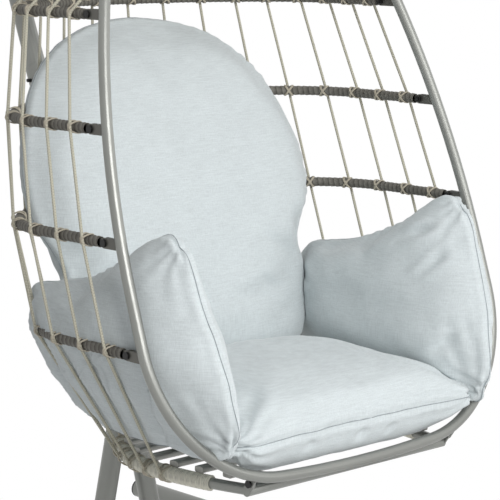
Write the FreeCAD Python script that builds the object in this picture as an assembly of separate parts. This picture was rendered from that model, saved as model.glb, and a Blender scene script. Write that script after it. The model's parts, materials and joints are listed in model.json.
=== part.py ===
import FreeCAD, Part
import math
import os

# Hanging egg chair on its floor stand.  Millimetres, +Z up, the sitter faces -Y.
# Origin: on the floor, in the middle of the stand's outline.
V = FreeCAD.Vector
X_AXIS = V(1, 0, 0)
Y_AXIS = V(0, 1, 0)
Z_AXIS = V(0, 0, 1)

# ---------------------------------------------------------------- general fits
SEAT_GAP = 0.1          # gap left where one rigid piece sits on another
SOFT_GAP = 0.4          # gap round a cushion
RUNNING_GAP = 0.8       # gap between pieces that move on each other

# ---------------------------------------------------------------- basket datum
DATUM_Y = -270.0        # the third rail's pivots, from the origin
DATUM_Z = 880.0         # the third rail's pivots, above the floor

# ---------------------------------------------------------------- front hoop
HOOP_LEAN = 18.3        # degrees the hoop leans back
HOOP_TUBE = 22.0
HOOP_SETBACK = 44.0     # hoop's centre line to the rail pivots, along Y
HOOP_BOTTOM = -484.5    # lowest point, measured up the leaning plane
HOOP_BASE_RADIUS = 3000.0
HOOP_BASE_TURN = 4.0
HOOP_CORNER_RADIUS = 284.0
HOOP_SIDE_RUN = 90.0
HOOP_SIDE_RADIUS = 1900.0
HOOP_SIDE_TURN = 17.0
HOOP_SHOULDER_RADIUS = 650.0
HOOP_SHOULDER_TURN = 23.0

# ---------------------------------------------------------------- side rails
RAIL_TUBE = 18.4        # over the tape wound on it
LUG_HEIGHT = 15.0
RAIL_HEIGHTS = (411.0, 203.5, 0.0, -200.6)     # from the datum, top rail first
RAIL_DEPTHS = (558.0, 545.0, 510.0, 432.0)     # datum to the middle of each back
RAIL_SIDE_RUN = (160.0, 180.0, 200.0, 200.0)   # straight sides behind the pivots
RAIL_BEND_TURN = 50.0
LUG_THICKNESS = 5.0
LUG_LENGTH = 26.0
YOKE_PLATE = 3.0
YOKE_HEIGHT = 20.0
RAIL_BOLT = 8.0
BOLT_HEAD = 15.0
BOLT_HEAD_HEIGHT = 4.0
NUT_WIDTH = 13.0
NUT_HEIGHT = 6.0

# ---------------------------------------------------------------- strands
STRAND = 6.0
STRAND_SIDES = 6
STRAND_LIFT = 1.18      # room for the rope to turn over a rail
TUBE_SIDES = 16         # sides drawn on a bent tube
WRAPPED_SIDES = 10      # sides drawn on a taped or wrapped tube
ROD_SIDES = 8           # sides drawn on a thin rod
STRAND_SPREAD = (0.065, 0.16, 0.26, 0.36, 0.465, 0.565, 0.68, 0.805, 0.93)

# ---------------------------------------------------------------- woven canopy
CANOPY_EDGE = 442.0     # lower edge, from the datum
CANOPY_BACK_Y = 556.0   # back of the rim's centre line, from the datum
CANOPY_SKIN = 4.5
CANOPY_ROUNDNESS = 1.8
CANOPY_FACETS = 18      # flat sides drawn on each half of the canopy
RIM_TUBE = 10.0
RIB_ROD = 8.0
RIB_CLEARANCE = 4.8
CROWN_RADIUS = 52.0
CROWN_THICKNESS = 4.0

# ---------------------------------------------------------------- seat ring
RING_HEIGHT = -476.0    # from the datum
RING_TUBE = 22.0
RING_WRAP = 30.0
RING_FRONT_Y = -165.0
RING_FRONT_HALF = 262.0
RING_HALF_WIDTH = 334.0
RING_BACK_Y = 356.0
SLAT_COUNT = 7
SLAT_WIDTH = 24.0
SLAT_FIRST_Y = -112.0
SLAT_PITCH = 64.0
TAB_PLATE = 4.0
TAB_RADIUS = 9.5

# ---------------------------------------------------------------- cushions
SEAT_THICKNESS = 148.0
SEAT_HALF_WIDTH = 322.0
SEAT_FRONT_Y = -168.0
SEAT_BACK_Y = 292.0
SEAT_EDGE = 26.0         # how far the edges round off
SEAT_FRONT_BEND = 60.0
SEAT_BACK_BEND = 210.0
SEAT_FACETS = 20         # flat sides drawn on each half of the seat cushion
BACK_HALF_WIDTH = 385.0
BACK_TOP = 378.0
BACK_THICKNESS = 120.0
BACK_DEPTH_Y = 440.0
BACK_LEAN = 12.0
BACK_CURVE_RADIUS = 640.0
ARM_INNER_X = 305.0
ARM_OUTER_X = 448.0
ARM_FRONT_Y = -205.0
ARM_BACK_Y = 330.0
ARM_TOP_FRONT = -8.0
ARM_TOP_BACK = -105.0
ARM_BOTTOM = -372.0
ARM_FOOT_X = 352.0
ARM_LOW_BACK_Y = 150.0

# ---------------------------------------------------------------- stand
POST_TUBE = 45.0
POST_WALL = 2.0
POST_LEAN = 22.3
POST_FOOT_Y = 548.0     # foot of the leaning post, from the datum
POST_FOOT_Z = 425.0     # foot of the leaning post, above the floor
POST_LENGTH = 700.0
BOW_STRAIGHT = 350.0
BOW_RADIUS = 420.0
BOW_TIP_DROP = 8.0      # degrees the tip points down
SLEEVE_TUBE = 51.0
SLEEVE_LENGTH = 130.0
LEG_TUBE = 45.0
LEG_SPLAY = 0.22        # sideways run for each unit of drop
LEG_TOP_Z = 350.0
LEG_Y = 530.0           # from the datum
BASE_TUBE = 45.0
BASE_WALL = 2.0
PAD_HEIGHT = 8.0
END_CAP_DEPTH = 16.0    # bore kept round for a cap
RUNNER_X = 420.0
RUNNER_FRONT_Y = -455.0  # from the datum
FLANGE_THICKNESS = 5.0
FLANGE_WIDTH = 96.0
STAND_BOLT = 8.0

# ---------------------------------------------------------------- hanger
HANG_Y = 175.0          # line of the hanger, from the datum
EYE_PLATE = 5.0
EYE_HOLE = 18.0
EYE_RIM = 9.0
LINK_ROD = 8.0
LINK_HALF_WIDTH = 14.0
LINK_LENGTH = 46.0      # between the middles of its two ends
SWIVEL_BODY = 26.0
SWIVEL_HEIGHT = 26.0
SWIVEL_PIN = 10.0
SWIVEL_FIT = 0.1        # on the pin's diameter
SPRING_ROD = 6.0
SPRING_RADIUS = 20.0
SPRING_TURNS = 6
COIL_SIDES = 24         # sides drawn round the spring
HOOK_ROD = 8.0
HOOK_BEND = 15.0


# ================================================================ paths
def line(start, end):
    return ("line", start, end)


def arc(start, centre, axis, degrees):
    end = rotate_about(start, centre, axis, degrees)
    return ("arc", start, end, centre, axis, degrees)


def rotate_about(point, centre, axis, degrees):
    turn = FreeCAD.Rotation(axis, degrees)
    return centre + turn.multVec(point - centre)


def rounded_path(points, radii):
    """Straight runs through the points, each inner corner rounded by its radius."""
    path = []
    start = points[0]
    for before, corner, after, radius in zip(points, points[1:], points[2:], radii):
        incoming = (corner - before).normalize()
        outgoing = (after - corner).normalize()
        turn = math.acos(max(-1.0, min(1.0, incoming.dot(outgoing))))
        setback = radius * math.tan(turn / 2)
        axis = incoming.cross(outgoing).normalize()
        bend_start = corner - incoming * setback
        centre = bend_start + axis.cross(incoming) * radius
        if (bend_start - start).Length > 1e-6:
            path.append(line(start, bend_start))
        bend = arc(bend_start, centre, axis, math.degrees(turn))
        path.append(bend)
        start = bend[2]
    if (points[-1] - start).Length > 1e-6:
        path.append(line(start, points[-1]))
    return path


def arc_chain(start, heading, turns):
    """Tangent runs in the XY plane: (radius, degrees) bends and (None, length) lines."""
    path = []
    point = start
    for radius, amount in turns:
        direction = V(math.cos(math.radians(heading)), math.sin(math.radians(heading)), 0)
        if radius is None:
            step = line(point, point + direction * amount)
        else:
            centre = point + Z_AXIS.cross(direction) * radius
            step = arc(point, centre, Z_AXIS, amount)
            heading += amount
        path.append(step)
        point = step[2]
    return path


def moved_path(path, placement):
    """The same path carried by a placement."""
    moved = []
    turn = placement.Rotation
    for piece in path:
        if piece[0] == "line":
            moved.append(line(placement.multVec(piece[1]), placement.multVec(piece[2])))
        else:
            start = placement.multVec(piece[1])
            centre = placement.multVec(piece[3])
            moved.append(arc(start, centre, turn.multVec(piece[4]), piece[5]))
    return moved


def mirrored_path(path):
    """The path reflected in the plane X = 0 and run the other way."""
    mirrored = []
    for piece in reversed(path):
        start = V(-piece[2].x, piece[2].y, piece[2].z)
        if piece[0] == "line":
            mirrored.append(line(start, V(-piece[1].x, piece[1].y, piece[1].z)))
        else:
            centre = V(-piece[3].x, piece[3].y, piece[3].z)
            axis = V(piece[4].x, -piece[4].y, -piece[4].z)
            mirrored.append(arc(start, centre, axis * -1, piece[5]))
    return mirrored


def piece_length(piece):
    if piece[0] == "line":
        return (piece[2] - piece[1]).Length
    return math.radians(piece[5]) * (piece[1] - piece[3]).Length


def path_length(path):
    return sum(piece_length(piece) for piece in path)


def point_along(path, distance):
    """The point at a distance along the path."""
    for piece in path:
        length = piece_length(piece)
        if distance <= length:
            share = distance / length
            if piece[0] == "line":
                return piece[1] + (piece[2] - piece[1]) * share
            return rotate_about(piece[1], piece[3], piece[4], piece[5] * share)
        distance -= length
    return path[-1][2]


def tangent_at_start(piece):
    if piece[0] == "line":
        return (piece[2] - piece[1]).normalize()
    return piece[4].cross(piece[1] - piece[3]).normalize()


# ================================================================ solids
def disc(centre, normal, radius, up, sides):
    """A round face, or one with an even number of sides when they are given."""
    if sides is None:
        return Part.Face(Part.Wire([Part.makeCircle(radius, centre, normal)]))
    across = normal.cross(up)
    corners = []
    for step in range(sides + 1):
        angle = 2 * math.pi * (step + 0.5) / sides
        corners.append(centre + up * (radius * math.cos(angle)) + across * (radius * math.sin(angle)))
    return Part.Face(Part.makePolygon(corners[:-1] + corners[:1]))


def tube_along(path, diameter, wall=None, sides=None):
    """A tube, or a rod when no wall is given, along a level or upright path."""
    bends = [piece for piece in path if piece[0] == "arc"]
    up = bends[0][4] if bends else None
    solids = []
    for piece in path:
        section = disc(piece[1], tangent_at_start(piece), diameter / 2, up, sides)
        if wall is not None:
            bore = disc(piece[1], tangent_at_start(piece), diameter / 2 - wall, up, sides)
            section = section.cut(bore).Faces[0]
        if piece[0] == "line":
            solids.append(section.extrude(piece[2] - piece[1]))
        else:
            solids.append(section.revolve(piece[3], piece[4], piece[5]))
    return fused(solids)


def fused(solids):
    if len(solids) == 1:
        return solids[0]
    return solids[0].multiFuse(solids[1:]).removeSplitter()


def rope_along(points, diameter):
    """A tight rope drawn with flat sides, mitred where it turns."""
    steps = [(after - before).normalize() for before, after in zip(points, points[1:])]
    side = steps[0].cross(Z_AXIS).normalize()
    up = side.cross(steps[0])
    corners = []
    for step in range(STRAND_SIDES):
        angle = 2 * math.pi * step / STRAND_SIDES
        corners.append(points[0] + side * (math.cos(angle) * diameter / 2) + up * (math.sin(angle) * diameter / 2))
    outlines = [Part.makePolygon(corners + corners[:1])]
    for index, point in enumerate(points[1:]):
        direction = steps[index]
        normal = direction if index + 1 == len(steps) else direction + steps[index + 1]
        reach = direction.dot(normal)
        corners = [corner + direction * ((point - corner).dot(normal) / reach) for corner in corners]
        outlines.append(Part.makePolygon(corners + corners[:1]))
    return Part.makeLoft(outlines, True, True)


def cylinder(start, end, diameter):
    axis = end - start
    return Part.makeCylinder(diameter / 2, axis.Length, start, axis)


def box(low, high):
    size = high - low
    return Part.makeBox(size.x, size.y, size.z, low)


def prism(points, direction):
    return Part.Face(Part.makePolygon(points + points[:1])).extrude(direction)


def linked_discs(first, second, radius, thickness):
    """A plate across X round two points, with rounded ends."""
    along = (second - first).normalize()
    side = X_AXIS.cross(along) * radius
    half = X_AXIS * (thickness / 2)
    corners = [first + side, second + side, second - side, first - side]
    plate = prism([corner - half for corner in corners], X_AXIS * thickness)
    discs = [cylinder(centre - half, centre + half, 2 * radius) for centre in (first, second)]
    return fused([plate] + discs)


def hex_nut(centre, axis, bore):
    """A hexagonal nut standing on a point, along an axis."""
    outline = [V(math.cos(math.radians(a)), math.sin(math.radians(a)), 0) for a in range(0, 360, 60)]
    corner = NUT_WIDTH / 2 / math.cos(math.radians(30))
    nut = prism([point * corner for point in outline], Z_AXIS * NUT_HEIGHT)
    nut = nut.cut(Part.makeCylinder(bore / 2, NUT_HEIGHT))
    nut.Placement = FreeCAD.Placement(centre, FreeCAD.Rotation(Z_AXIS, axis))
    return nut


def eye_plate(hole, root):
    """A plate in the middle plane with an eye, and a straight root to weld on."""
    plate = linked_discs(hole, root, EYE_HOLE / 2 + EYE_RIM, EYE_PLATE)
    reach = X_AXIS * EYE_PLATE
    return plate.cut(cylinder(hole - reach, hole + reach, EYE_HOLE))


def mirrored(shape):
    return shape.mirror(V(0, 0, 0), X_AXIS)


def both_sides(shape):
    return [shape, mirrored(shape)]


def seat_point(x, y, z):
    """A point given from the basket's datum."""
    return V(x, DATUM_Y + y, DATUM_Z + z)


def write(name, solids):
    shape = solids[0] if len(solids) == 1 else Part.makeCompound(solids)
    shape.exportStep("parts/" + name + ".step")


# ================================================================ hoop
def hoop_plane():
    """Carries a flat drawing (X across, Y up the hoop) into the leaning plane."""
    return FreeCAD.Placement(seat_point(0, -HOOP_SETBACK, 0), FreeCAD.Rotation(X_AXIS, 90 - HOOP_LEAN))


def hoop_half_path():
    """The hoop's right half, from the middle of its foot to its crown, drawn flat."""
    side = [
        (HOOP_BASE_RADIUS, HOOP_BASE_TURN),
        (HOOP_CORNER_RADIUS, 90 - HOOP_BASE_TURN),
        (None, HOOP_SIDE_RUN),
        (HOOP_SIDE_RADIUS, HOOP_SIDE_TURN),
        (HOOP_SHOULDER_RADIUS, HOOP_SHOULDER_TURN),
    ]
    start = V(0, HOOP_BOTTOM, 0)
    path = arc_chain(start, 0, side)
    turned = HOOP_SIDE_TURN + HOOP_SHOULDER_TURN
    crown_radius = path[-1][2].x / math.cos(math.radians(turned))
    return arc_chain(start, 0, side + [(crown_radius, 90 - turned)])


def hoop_half_width(height):
    """Half the width between the hoop's centre lines at a height over the datum."""
    target = height / math.cos(math.radians(HOOP_LEAN))
    path = hoop_half_path()
    low = 0.0
    high = path_length(path)
    while high - low > 0.01:
        middle = (low + high) / 2
        if point_along(path, middle).y < target:
            low = middle
        else:
            high = middle
    return point_along(path, low).x


def hoop_y(height):
    """How far the hoop's centre line lies behind the datum at a height."""
    return -HOOP_SETBACK + height * math.tan(math.radians(HOOP_LEAN))


def hoop_crown():
    return hoop_plane().multVec(hoop_half_path()[-1][2])


def make_hoop():
    half = moved_path(hoop_half_path(), hoop_plane())
    return tube_along(half + mirrored_path(half), HOOP_TUBE, sides=TUBE_SIDES)


# ================================================================ rails
def rail_side_x(row):
    return hoop_half_width(RAIL_HEIGHTS[row])


def rail_pivot(row):
    """The right pivot of a rail."""
    height = RAIL_HEIGHTS[row]
    return seat_point(rail_side_x(row), hoop_y(height) + HOOP_SETBACK, height)


def rail_bends(width, depth):
    """The two bend radii that turn a straight side into the middle of the back."""
    turn = math.radians(RAIL_BEND_TURN)
    sine = math.sin(turn)
    cosine = math.cos(turn)
    wide = (width * sine - depth * (1 - cosine)) / (cosine * sine - (1 - sine) * (1 - cosine))
    tight = (depth - wide * (1 - sine)) / sine
    return tight, wide


def half_loop(side_x, start_y, side_run, back_y, height):
    """Half of a U in a level plane: a straight side, then two bends to the middle."""
    depth = back_y - start_y - side_run
    tight, wide = rail_bends(side_x, depth)
    turns = [(None, side_run), (tight, RAIL_BEND_TURN), (wide, 90 - RAIL_BEND_TURN)]
    return arc_chain(seat_point(side_x, start_y, height), 90, turns)


def rail_half_path(row):
    pivot_y = rail_pivot(row).y - DATUM_Y
    return half_loop(rail_side_x(row), pivot_y, RAIL_SIDE_RUN[row], RAIL_DEPTHS[row], RAIL_HEIGHTS[row])


def trimmed_start(path, distance):
    """The path without its first stretch, which is straight."""
    first = path[0]
    return [line(first[1] + tangent_at_start(first) * distance, first[2])] + path[1:]


def rail_tube_path(row):
    half = trimmed_start(rail_half_path(row), LUG_LENGTH - YOKE_HEIGHT / 2)
    return half + mirrored_path(half)


def make_lug(row):
    """The flattened end of the right side, with its bolt hole."""
    pivot = rail_pivot(row)
    end = pivot + Y_AXIS * (LUG_LENGTH - YOKE_HEIGHT / 2 + 6.0)
    flat = box(V(pivot.x - LUG_THICKNESS / 2, pivot.y, pivot.z - LUG_HEIGHT / 2),
               V(pivot.x + LUG_THICKNESS / 2, end.y, pivot.z + LUG_HEIGHT / 2))
    half = X_AXIS * (LUG_THICKNESS / 2)
    nose = cylinder(pivot - half, pivot + half, LUG_HEIGHT)
    hole = cylinder(pivot - half * 2, pivot + half * 2, RAIL_BOLT + 2 * SEAT_GAP)
    return fused([flat, nose]).cut(hole)


def make_rail(row):
    tube = tube_along(rail_tube_path(row), RAIL_TUBE, sides=WRAPPED_SIDES)
    return fused([tube] + both_sides(make_lug(row)))


def make_yoke(row):
    """A forked bracket on the back of the hoop that holds a rail's right end."""
    pivot = rail_pivot(row)
    outer = LUG_THICKNESS / 2 + SEAT_GAP + YOKE_PLATE
    plane_y = pivot.y - HOOP_SETBACK
    nose = V(pivot.x, plane_y + HOOP_TUBE / 4, pivot.z)
    block = linked_discs(nose, pivot, YOKE_HEIGHT / 2, 2 * outer)
    slot_half = LUG_THICKNESS / 2 + SEAT_GAP
    slot_front = pivot.y - YOKE_HEIGHT / 2 - 4.0
    slot = box(V(pivot.x - slot_half, slot_front, pivot.z - YOKE_HEIGHT),
               V(pivot.x + slot_half, pivot.y + YOKE_HEIGHT, pivot.z + YOKE_HEIGHT))
    hole = cylinder(pivot - X_AXIS * 20, pivot + X_AXIS * 20, RAIL_BOLT + 2 * SEAT_GAP)
    return block.cut(slot).cut(hole)


def yoke_half_thickness():
    return LUG_THICKNESS / 2 + SEAT_GAP + YOKE_PLATE


def make_rail_bolt(row):
    """The bolt from the outside of the right yoke, with a low round head."""
    pivot = rail_pivot(row)
    face = pivot + X_AXIS * (yoke_half_thickness() + SEAT_GAP)
    tip = pivot - X_AXIS * (yoke_half_thickness() + NUT_HEIGHT + 3.0)
    head = cylinder(face, face + X_AXIS * BOLT_HEAD_HEIGHT, BOLT_HEAD)
    return fused([head, cylinder(tip, face, RAIL_BOLT)])


def make_rail_nut(row):
    pivot = rail_pivot(row)
    return hex_nut(pivot - X_AXIS * (yoke_half_thickness() + SEAT_GAP), -X_AXIS, RAIL_BOLT + 2 * SEAT_GAP)


# ================================================================ seat ring
def ring_side_path():
    """The right side and back of the ring, from the front corner to the middle."""
    front_run = 40.0
    bow_out = math.degrees(math.atan2(RING_HALF_WIDTH - RING_FRONT_HALF, 250.0))
    start = seat_point(RING_FRONT_HALF, RING_FRONT_Y, RING_HEIGHT)
    turns = [(None, front_run), (700.0, bow_out)]
    lead = arc_chain(start, 90 - bow_out, turns)
    middle = lead[-1][2]
    depth = RING_BACK_Y - (middle.y - DATUM_Y)
    tight, wide = rail_bends(middle.x, depth)
    bends = [(tight, RAIL_BEND_TURN), (wide, 90 - RAIL_BEND_TURN)]
    return lead + arc_chain(middle, 90, bends)


def ring_half_width(y):
    """Half the ring's width between centre lines at a depth behind the datum."""
    path = ring_side_path()
    low = 0.0
    high = path_length(path)
    while high - low > 0.01:
        middle = (low + high) / 2
        if point_along(path, middle).y < DATUM_Y + y:
            low = middle
        else:
            high = middle
    return point_along(path, low).x


def make_seat_ring():
    half = ring_side_path()
    corner = half[0][1]
    sides = tube_along(half + mirrored_path(half), RING_TUBE, sides=TUBE_SIDES)
    cross = cylinder(V(-corner.x - RING_TUBE / 2, corner.y, corner.z),
                     V(corner.x + RING_TUBE / 2, corner.y, corner.z), RING_TUBE)
    return fused([sides, cross])


def ring_wrap_path():
    half = trimmed_start(ring_side_path(), 26.0)
    return half + mirrored_path(half)


def make_ring_wrap():
    bore = (RING_TUBE / 2 + SEAT_GAP) / math.cos(math.pi / WRAPPED_SIDES)
    radius = RING_WRAP / 2 / math.cos(math.pi / WRAPPED_SIDES)
    return tube_along(ring_wrap_path(), 2 * radius, radius - bore, WRAPPED_SIDES)


def slat_top():
    """Top of the slats, which lie on the ring's wrap, level with the hoop's foot."""
    return hoop_foot_height() + HOOP_TUBE / 2


def hoop_foot_height():
    return HOOP_BOTTOM * math.cos(math.radians(HOOP_LEAN))


def make_slats():
    slats = []
    low = RING_HEIGHT + RING_WRAP / 2 + SEAT_GAP
    for index in range(SLAT_COUNT):
        y = SLAT_FIRST_Y + index * SLAT_PITCH
        narrow = min(ring_half_width(y - SLAT_WIDTH / 2), ring_half_width(y + SLAT_WIDTH / 2))
        slat = box(seat_point(-narrow, y - SLAT_WIDTH / 2, low),
                   seat_point(narrow, y + SLAT_WIDTH / 2, slat_top()))
        slats.append(slat.makeFillet(4.0, [edge for edge in slat.Edges if edge.Length > narrow]))
    return slats


def ring_bolt():
    """The right bolt that ties the seat ring to the hoop, midway between their tubes."""
    x = RING_FRONT_HALF + RING_TUBE / 2 - SEAT_GAP
    height = hoop_height_at(x)
    return seat_point(x, (hoop_y(height) + RING_FRONT_Y) / 2, (height + RING_HEIGHT) / 2)


def tab_shift():
    return X_AXIS * ((TAB_PLATE + SEAT_GAP) / 2)


def make_hoop_tab():
    bolt = ring_bolt()
    width = bolt.x
    height = hoop_height_at(width)
    foot = seat_point(width, hoop_y(height), height)
    plate = linked_discs(bolt, foot, TAB_RADIUS, TAB_PLATE)
    plate.translate(tab_shift())
    drill = cylinder(bolt - X_AXIS * 20, bolt + X_AXIS * 20, STAND_BOLT + 2 * SEAT_GAP)
    return plate.cut(drill)


def hoop_height_at(width):
    """Height of the hoop's foot over the datum where it is this far out."""
    path = hoop_half_path()
    low = 0.0
    high = path_length(path[:2])
    while high - low > 0.01:
        middle = (low + high) / 2
        if point_along(path, middle).x < width:
            low = middle
        else:
            high = middle
    return point_along(path, low).y * math.cos(math.radians(HOOP_LEAN))


def make_ring_tab(seat_ring):
    bolt = ring_bolt()
    under = seat_point(bolt.x, RING_FRONT_Y, RING_HEIGHT)
    plate = linked_discs(bolt, under, TAB_RADIUS, TAB_PLATE)
    plate.translate(tab_shift() * -1)
    drill = cylinder(bolt - X_AXIS * 20, bolt + X_AXIS * 20, STAND_BOLT + 2 * SEAT_GAP)
    return plate.cut(drill).cut(seat_ring)


def make_tab_bolt():
    bolt = ring_bolt()
    face = bolt + tab_shift() + X_AXIS * (TAB_PLATE / 2 + SEAT_GAP)
    tip = bolt - X_AXIS * (TAB_PLATE + NUT_HEIGHT + 4.0)
    head = cylinder(face, face + X_AXIS * BOLT_HEAD_HEIGHT, BOLT_HEAD)
    return fused([head, cylinder(tip, face, STAND_BOLT)])


def make_tab_nut():
    place = ring_bolt() - tab_shift() - X_AXIS * (TAB_PLATE / 2 + SEAT_GAP)
    return hex_nut(place, -X_AXIS, STAND_BOLT + 2 * SEAT_GAP)


# ================================================================ strands
def strand_knots(index):
    """Where one right-hand strand crosses the rails, from the canopy to the ring."""
    share = STRAND_SPREAD[index]
    gap = (RAIL_TUBE / 2 + STRAND / 2) * STRAND_LIFT
    knots = []
    for row in range(len(RAIL_HEIGHTS)):
        path = rail_half_path(row)
        distance = share * path_length(path)
        knots.append(outside_of(path, distance, gap))
    ring_path = ring_side_path()
    ring_gap = RING_WRAP / 2 + STRAND / 2 + 2 * SEAT_GAP
    start_share = 0.24 + 0.72 * share
    knots.append(outside_of(ring_path, start_share * path_length(ring_path), ring_gap))
    return knots


def outside_of(path, distance, gap):
    """A point beside a level path, on its outer side."""
    point = point_along(path, distance)
    ahead = point_along(path, distance + 0.5)
    along = (ahead - point).normalize()
    return point + along.cross(Z_AXIS) * gap


def make_strand(index):
    """A rope pulled tight from the canopy's rim over each rail to the seat ring."""
    knots = strand_knots(index)
    rim = canopy_half_path()
    share = STRAND_SPREAD[index]
    top = outside_of(rim, share * path_length(rim), RIM_TUBE / 2 + STRAND / 2 + SEAT_GAP)
    return rope_along([top] + knots, STRAND)


# ================================================================ canopy
def canopy_half_path():
    """The canopy's rim, just above the top rail and the same shape."""
    front_y = hoop_y(CANOPY_EDGE) + HOOP_TUBE / 2
    run = RAIL_SIDE_RUN[0]
    return half_loop(hoop_half_width(CANOPY_EDGE), front_y, run, CANOPY_BACK_Y, CANOPY_EDGE)


def make_canopy_rim():
    half = canopy_half_path()
    return tube_along(half + mirrored_path(half), RIM_TUBE, sides=ROD_SIDES)


def canopy_top():
    return hoop_crown().z - DATUM_Z


def level_outline(size, inset, height):
    """The canopy's level outline, shrunk towards the crown and closed in front."""
    crown_y = hoop_crown().y - DATUM_Y
    side_x = hoop_half_width(CANOPY_EDGE) * size - inset
    back_y = crown_y + (CANOPY_BACK_Y - crown_y) * size - inset
    front_y = crown_y + (hoop_y(CANOPY_EDGE) - 40.0 - crown_y) * size
    bend_y = crown_y + (hoop_y(CANOPY_EDGE) + RAIL_SIDE_RUN[0] - crown_y) * size
    half = half_loop(side_x, front_y, bend_y - front_y, back_y, height)
    return closed_polygon(half, CANOPY_FACETS)


def closed_polygon(half, facets):
    """A level outline drawn with flat sides, from its right half; the front is straight."""
    length = path_length(half)
    right = [point_along(half, length * step / facets) for step in range(facets + 1)]
    left = [V(-point.x, point.y, point.z) for point in reversed(right[:-1])]
    return Part.makePolygon(right + left + right[:1])


def canopy_size(rise):
    """Width of the dome at a share of its rise, as a share of its rim."""
    power = CANOPY_ROUNDNESS
    return (1 - rise ** power) ** (1 / power)


def dome(inset, drop, bottom):
    """The closed form of the canopy, made smaller by an inset."""
    rise = canopy_top() - CANOPY_EDGE
    outlines = []
    for share in (0.0, 0.3, 0.55, 0.75, 0.9, 0.97):
        height = CANOPY_EDGE + share * rise - drop
        if share == 0.0:
            height = CANOPY_EDGE + bottom
        outlines.append(level_outline(canopy_size(share), inset, height))
    return Part.makeLoft(outlines, True, True)


def in_front_of_hoop(setback):
    """Everything in front of the hoop's leaning plane."""
    slab = Part.makeBox(2400, 2400, 1200, V(-1200, -1200, 0))
    slab.Placement = hoop_plane().multiply(FreeCAD.Placement(V(0, 0, -setback), FreeCAD.Rotation()))
    return slab


def make_canopy_skin():
    outer = dome(0.0, 0.0, RIM_TUBE)
    inner = dome(CANOPY_SKIN, CANOPY_SKIN, RIM_TUBE - 1.0)
    return outer.cut(inner).cut(in_front_of_hoop(HOOP_TUBE / 2 + SEAT_GAP))


def rib_path(share):
    """A rod under the skin, from the rim up to the crown."""
    rim = canopy_half_path()
    foot = point_along(rim, share * path_length(rim))
    crown = hoop_crown()
    outward = V(foot.x - crown.x, foot.y - crown.y, 0)
    reach = outward.Length
    outward.normalize()
    rise = crown.z - foot.z
    seat = (RIM_TUBE + RIB_ROD) / 2 + SEAT_GAP
    points = [foot - outward * seat - Z_AXIS * (RIB_ROD / 2)]
    under_skin = CANOPY_SKIN + RIB_ROD / 2 + RIB_CLEARANCE
    for step in (0.62, 0.9, 0.985):
        size = canopy_size(step)
        level = V(crown.x, crown.y, foot.z + step * (rise - under_skin))
        points.append(level + outward * (size * (reach - under_skin)))
    return points


def make_rib(share):
    points = rib_path(share)
    runs = [(after - before).Length for before, after in zip(points, points[1:])]
    radii = []
    for first, second, third, left, right in zip(points, points[1:], points[2:], runs, runs[1:]):
        turn = (second - first).getAngle(third - second)
        radii.append(0.45 * min(left, right) / math.tan(turn / 2))
    return tube_along(rounded_path(points, radii), RIB_ROD, sides=ROD_SIDES)


# ================================================================ cushions
def closed_wire(path):
    """The path as a wire, closed by a straight edge where its ends are apart."""
    edges = []
    for piece in path:
        if piece[0] == "line":
            edges.append(Part.LineSegment(piece[1], piece[2]).toShape())
        else:
            middle = rotate_about(piece[1], piece[3], piece[4], piece[5] / 2)
            edges.append(Part.Arc(piece[1], middle, piece[2]).toShape())
    if (path[-1][2] - path[0][1]).Length > 1e-6:
        edges.append(Part.LineSegment(path[-1][2], path[0][1]).toShape())
    return Part.Wire(edges)


def closed_face(path):
    return Part.Face(closed_wire(path))


def seat_base():
    return slat_top() + SOFT_GAP


def seat_top():
    return seat_base() + SEAT_THICKNESS


def seat_outline(inset, rise):
    """The seat cushion's outline at a level, drawn with flat sides."""
    side_x = SEAT_HALF_WIDTH - inset
    level = seat_base() + rise
    front_y = SEAT_FRONT_Y + inset
    back_y = SEAT_BACK_Y - inset
    corners = [seat_point(0, front_y, level), seat_point(side_x, front_y, level),
               seat_point(side_x, back_y, level), seat_point(0, back_y, level)]
    half = rounded_path(corners, [SEAT_FRONT_BEND, SEAT_BACK_BEND])
    return closed_polygon(half, SEAT_FACETS)


def make_seat_cushion():
    """A pad with rounded edges all round, flat where it rests and where it is sat on."""
    levels = [(SEAT_EDGE, 0.0), (0.0, SEAT_EDGE), (0.0, SEAT_THICKNESS - SEAT_EDGE),
              (SEAT_EDGE, SEAT_THICKNESS)]
    return Part.makeLoft([seat_outline(inset, rise) for inset, rise in levels], True, True)


def back_axis(grow):
    """The tilted axis that the back cushion curves round, and its outer radius."""
    foot = seat_point(0, BACK_DEPTH_Y - BACK_CURVE_RADIUS, 0)
    direction = V(0, math.sin(math.radians(BACK_LEAN)), math.cos(math.radians(BACK_LEAN)))
    return foot - direction * 900, direction, BACK_CURVE_RADIUS + grow


def make_back_cushion(grow=0.0):
    """A rounded pad, curved round the back of the basket and leaning with it."""
    start, direction, radius = back_axis(grow)
    outer = Part.makeCylinder(radius, 1800, start, direction)
    inner = Part.makeCylinder(radius - BACK_THICKNESS - 2 * grow, 1800, start, direction)
    low = seat_top() + SOFT_GAP - grow
    high = BACK_TOP + grow
    half = BACK_HALF_WIDTH + grow
    points = [seat_point(0, 0, low), seat_point(half, 0, low), seat_point(half, 0, high),
              seat_point(-half, 0, high), seat_point(-half, 0, low), seat_point(0, 0, low)]
    outline = rounded_path(points, [250.0, 330.0, 330.0, 250.0])
    slab = closed_face(outline).extrude(Y_AXIS * 700)
    return slab.common(outer.cut(inner))


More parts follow.
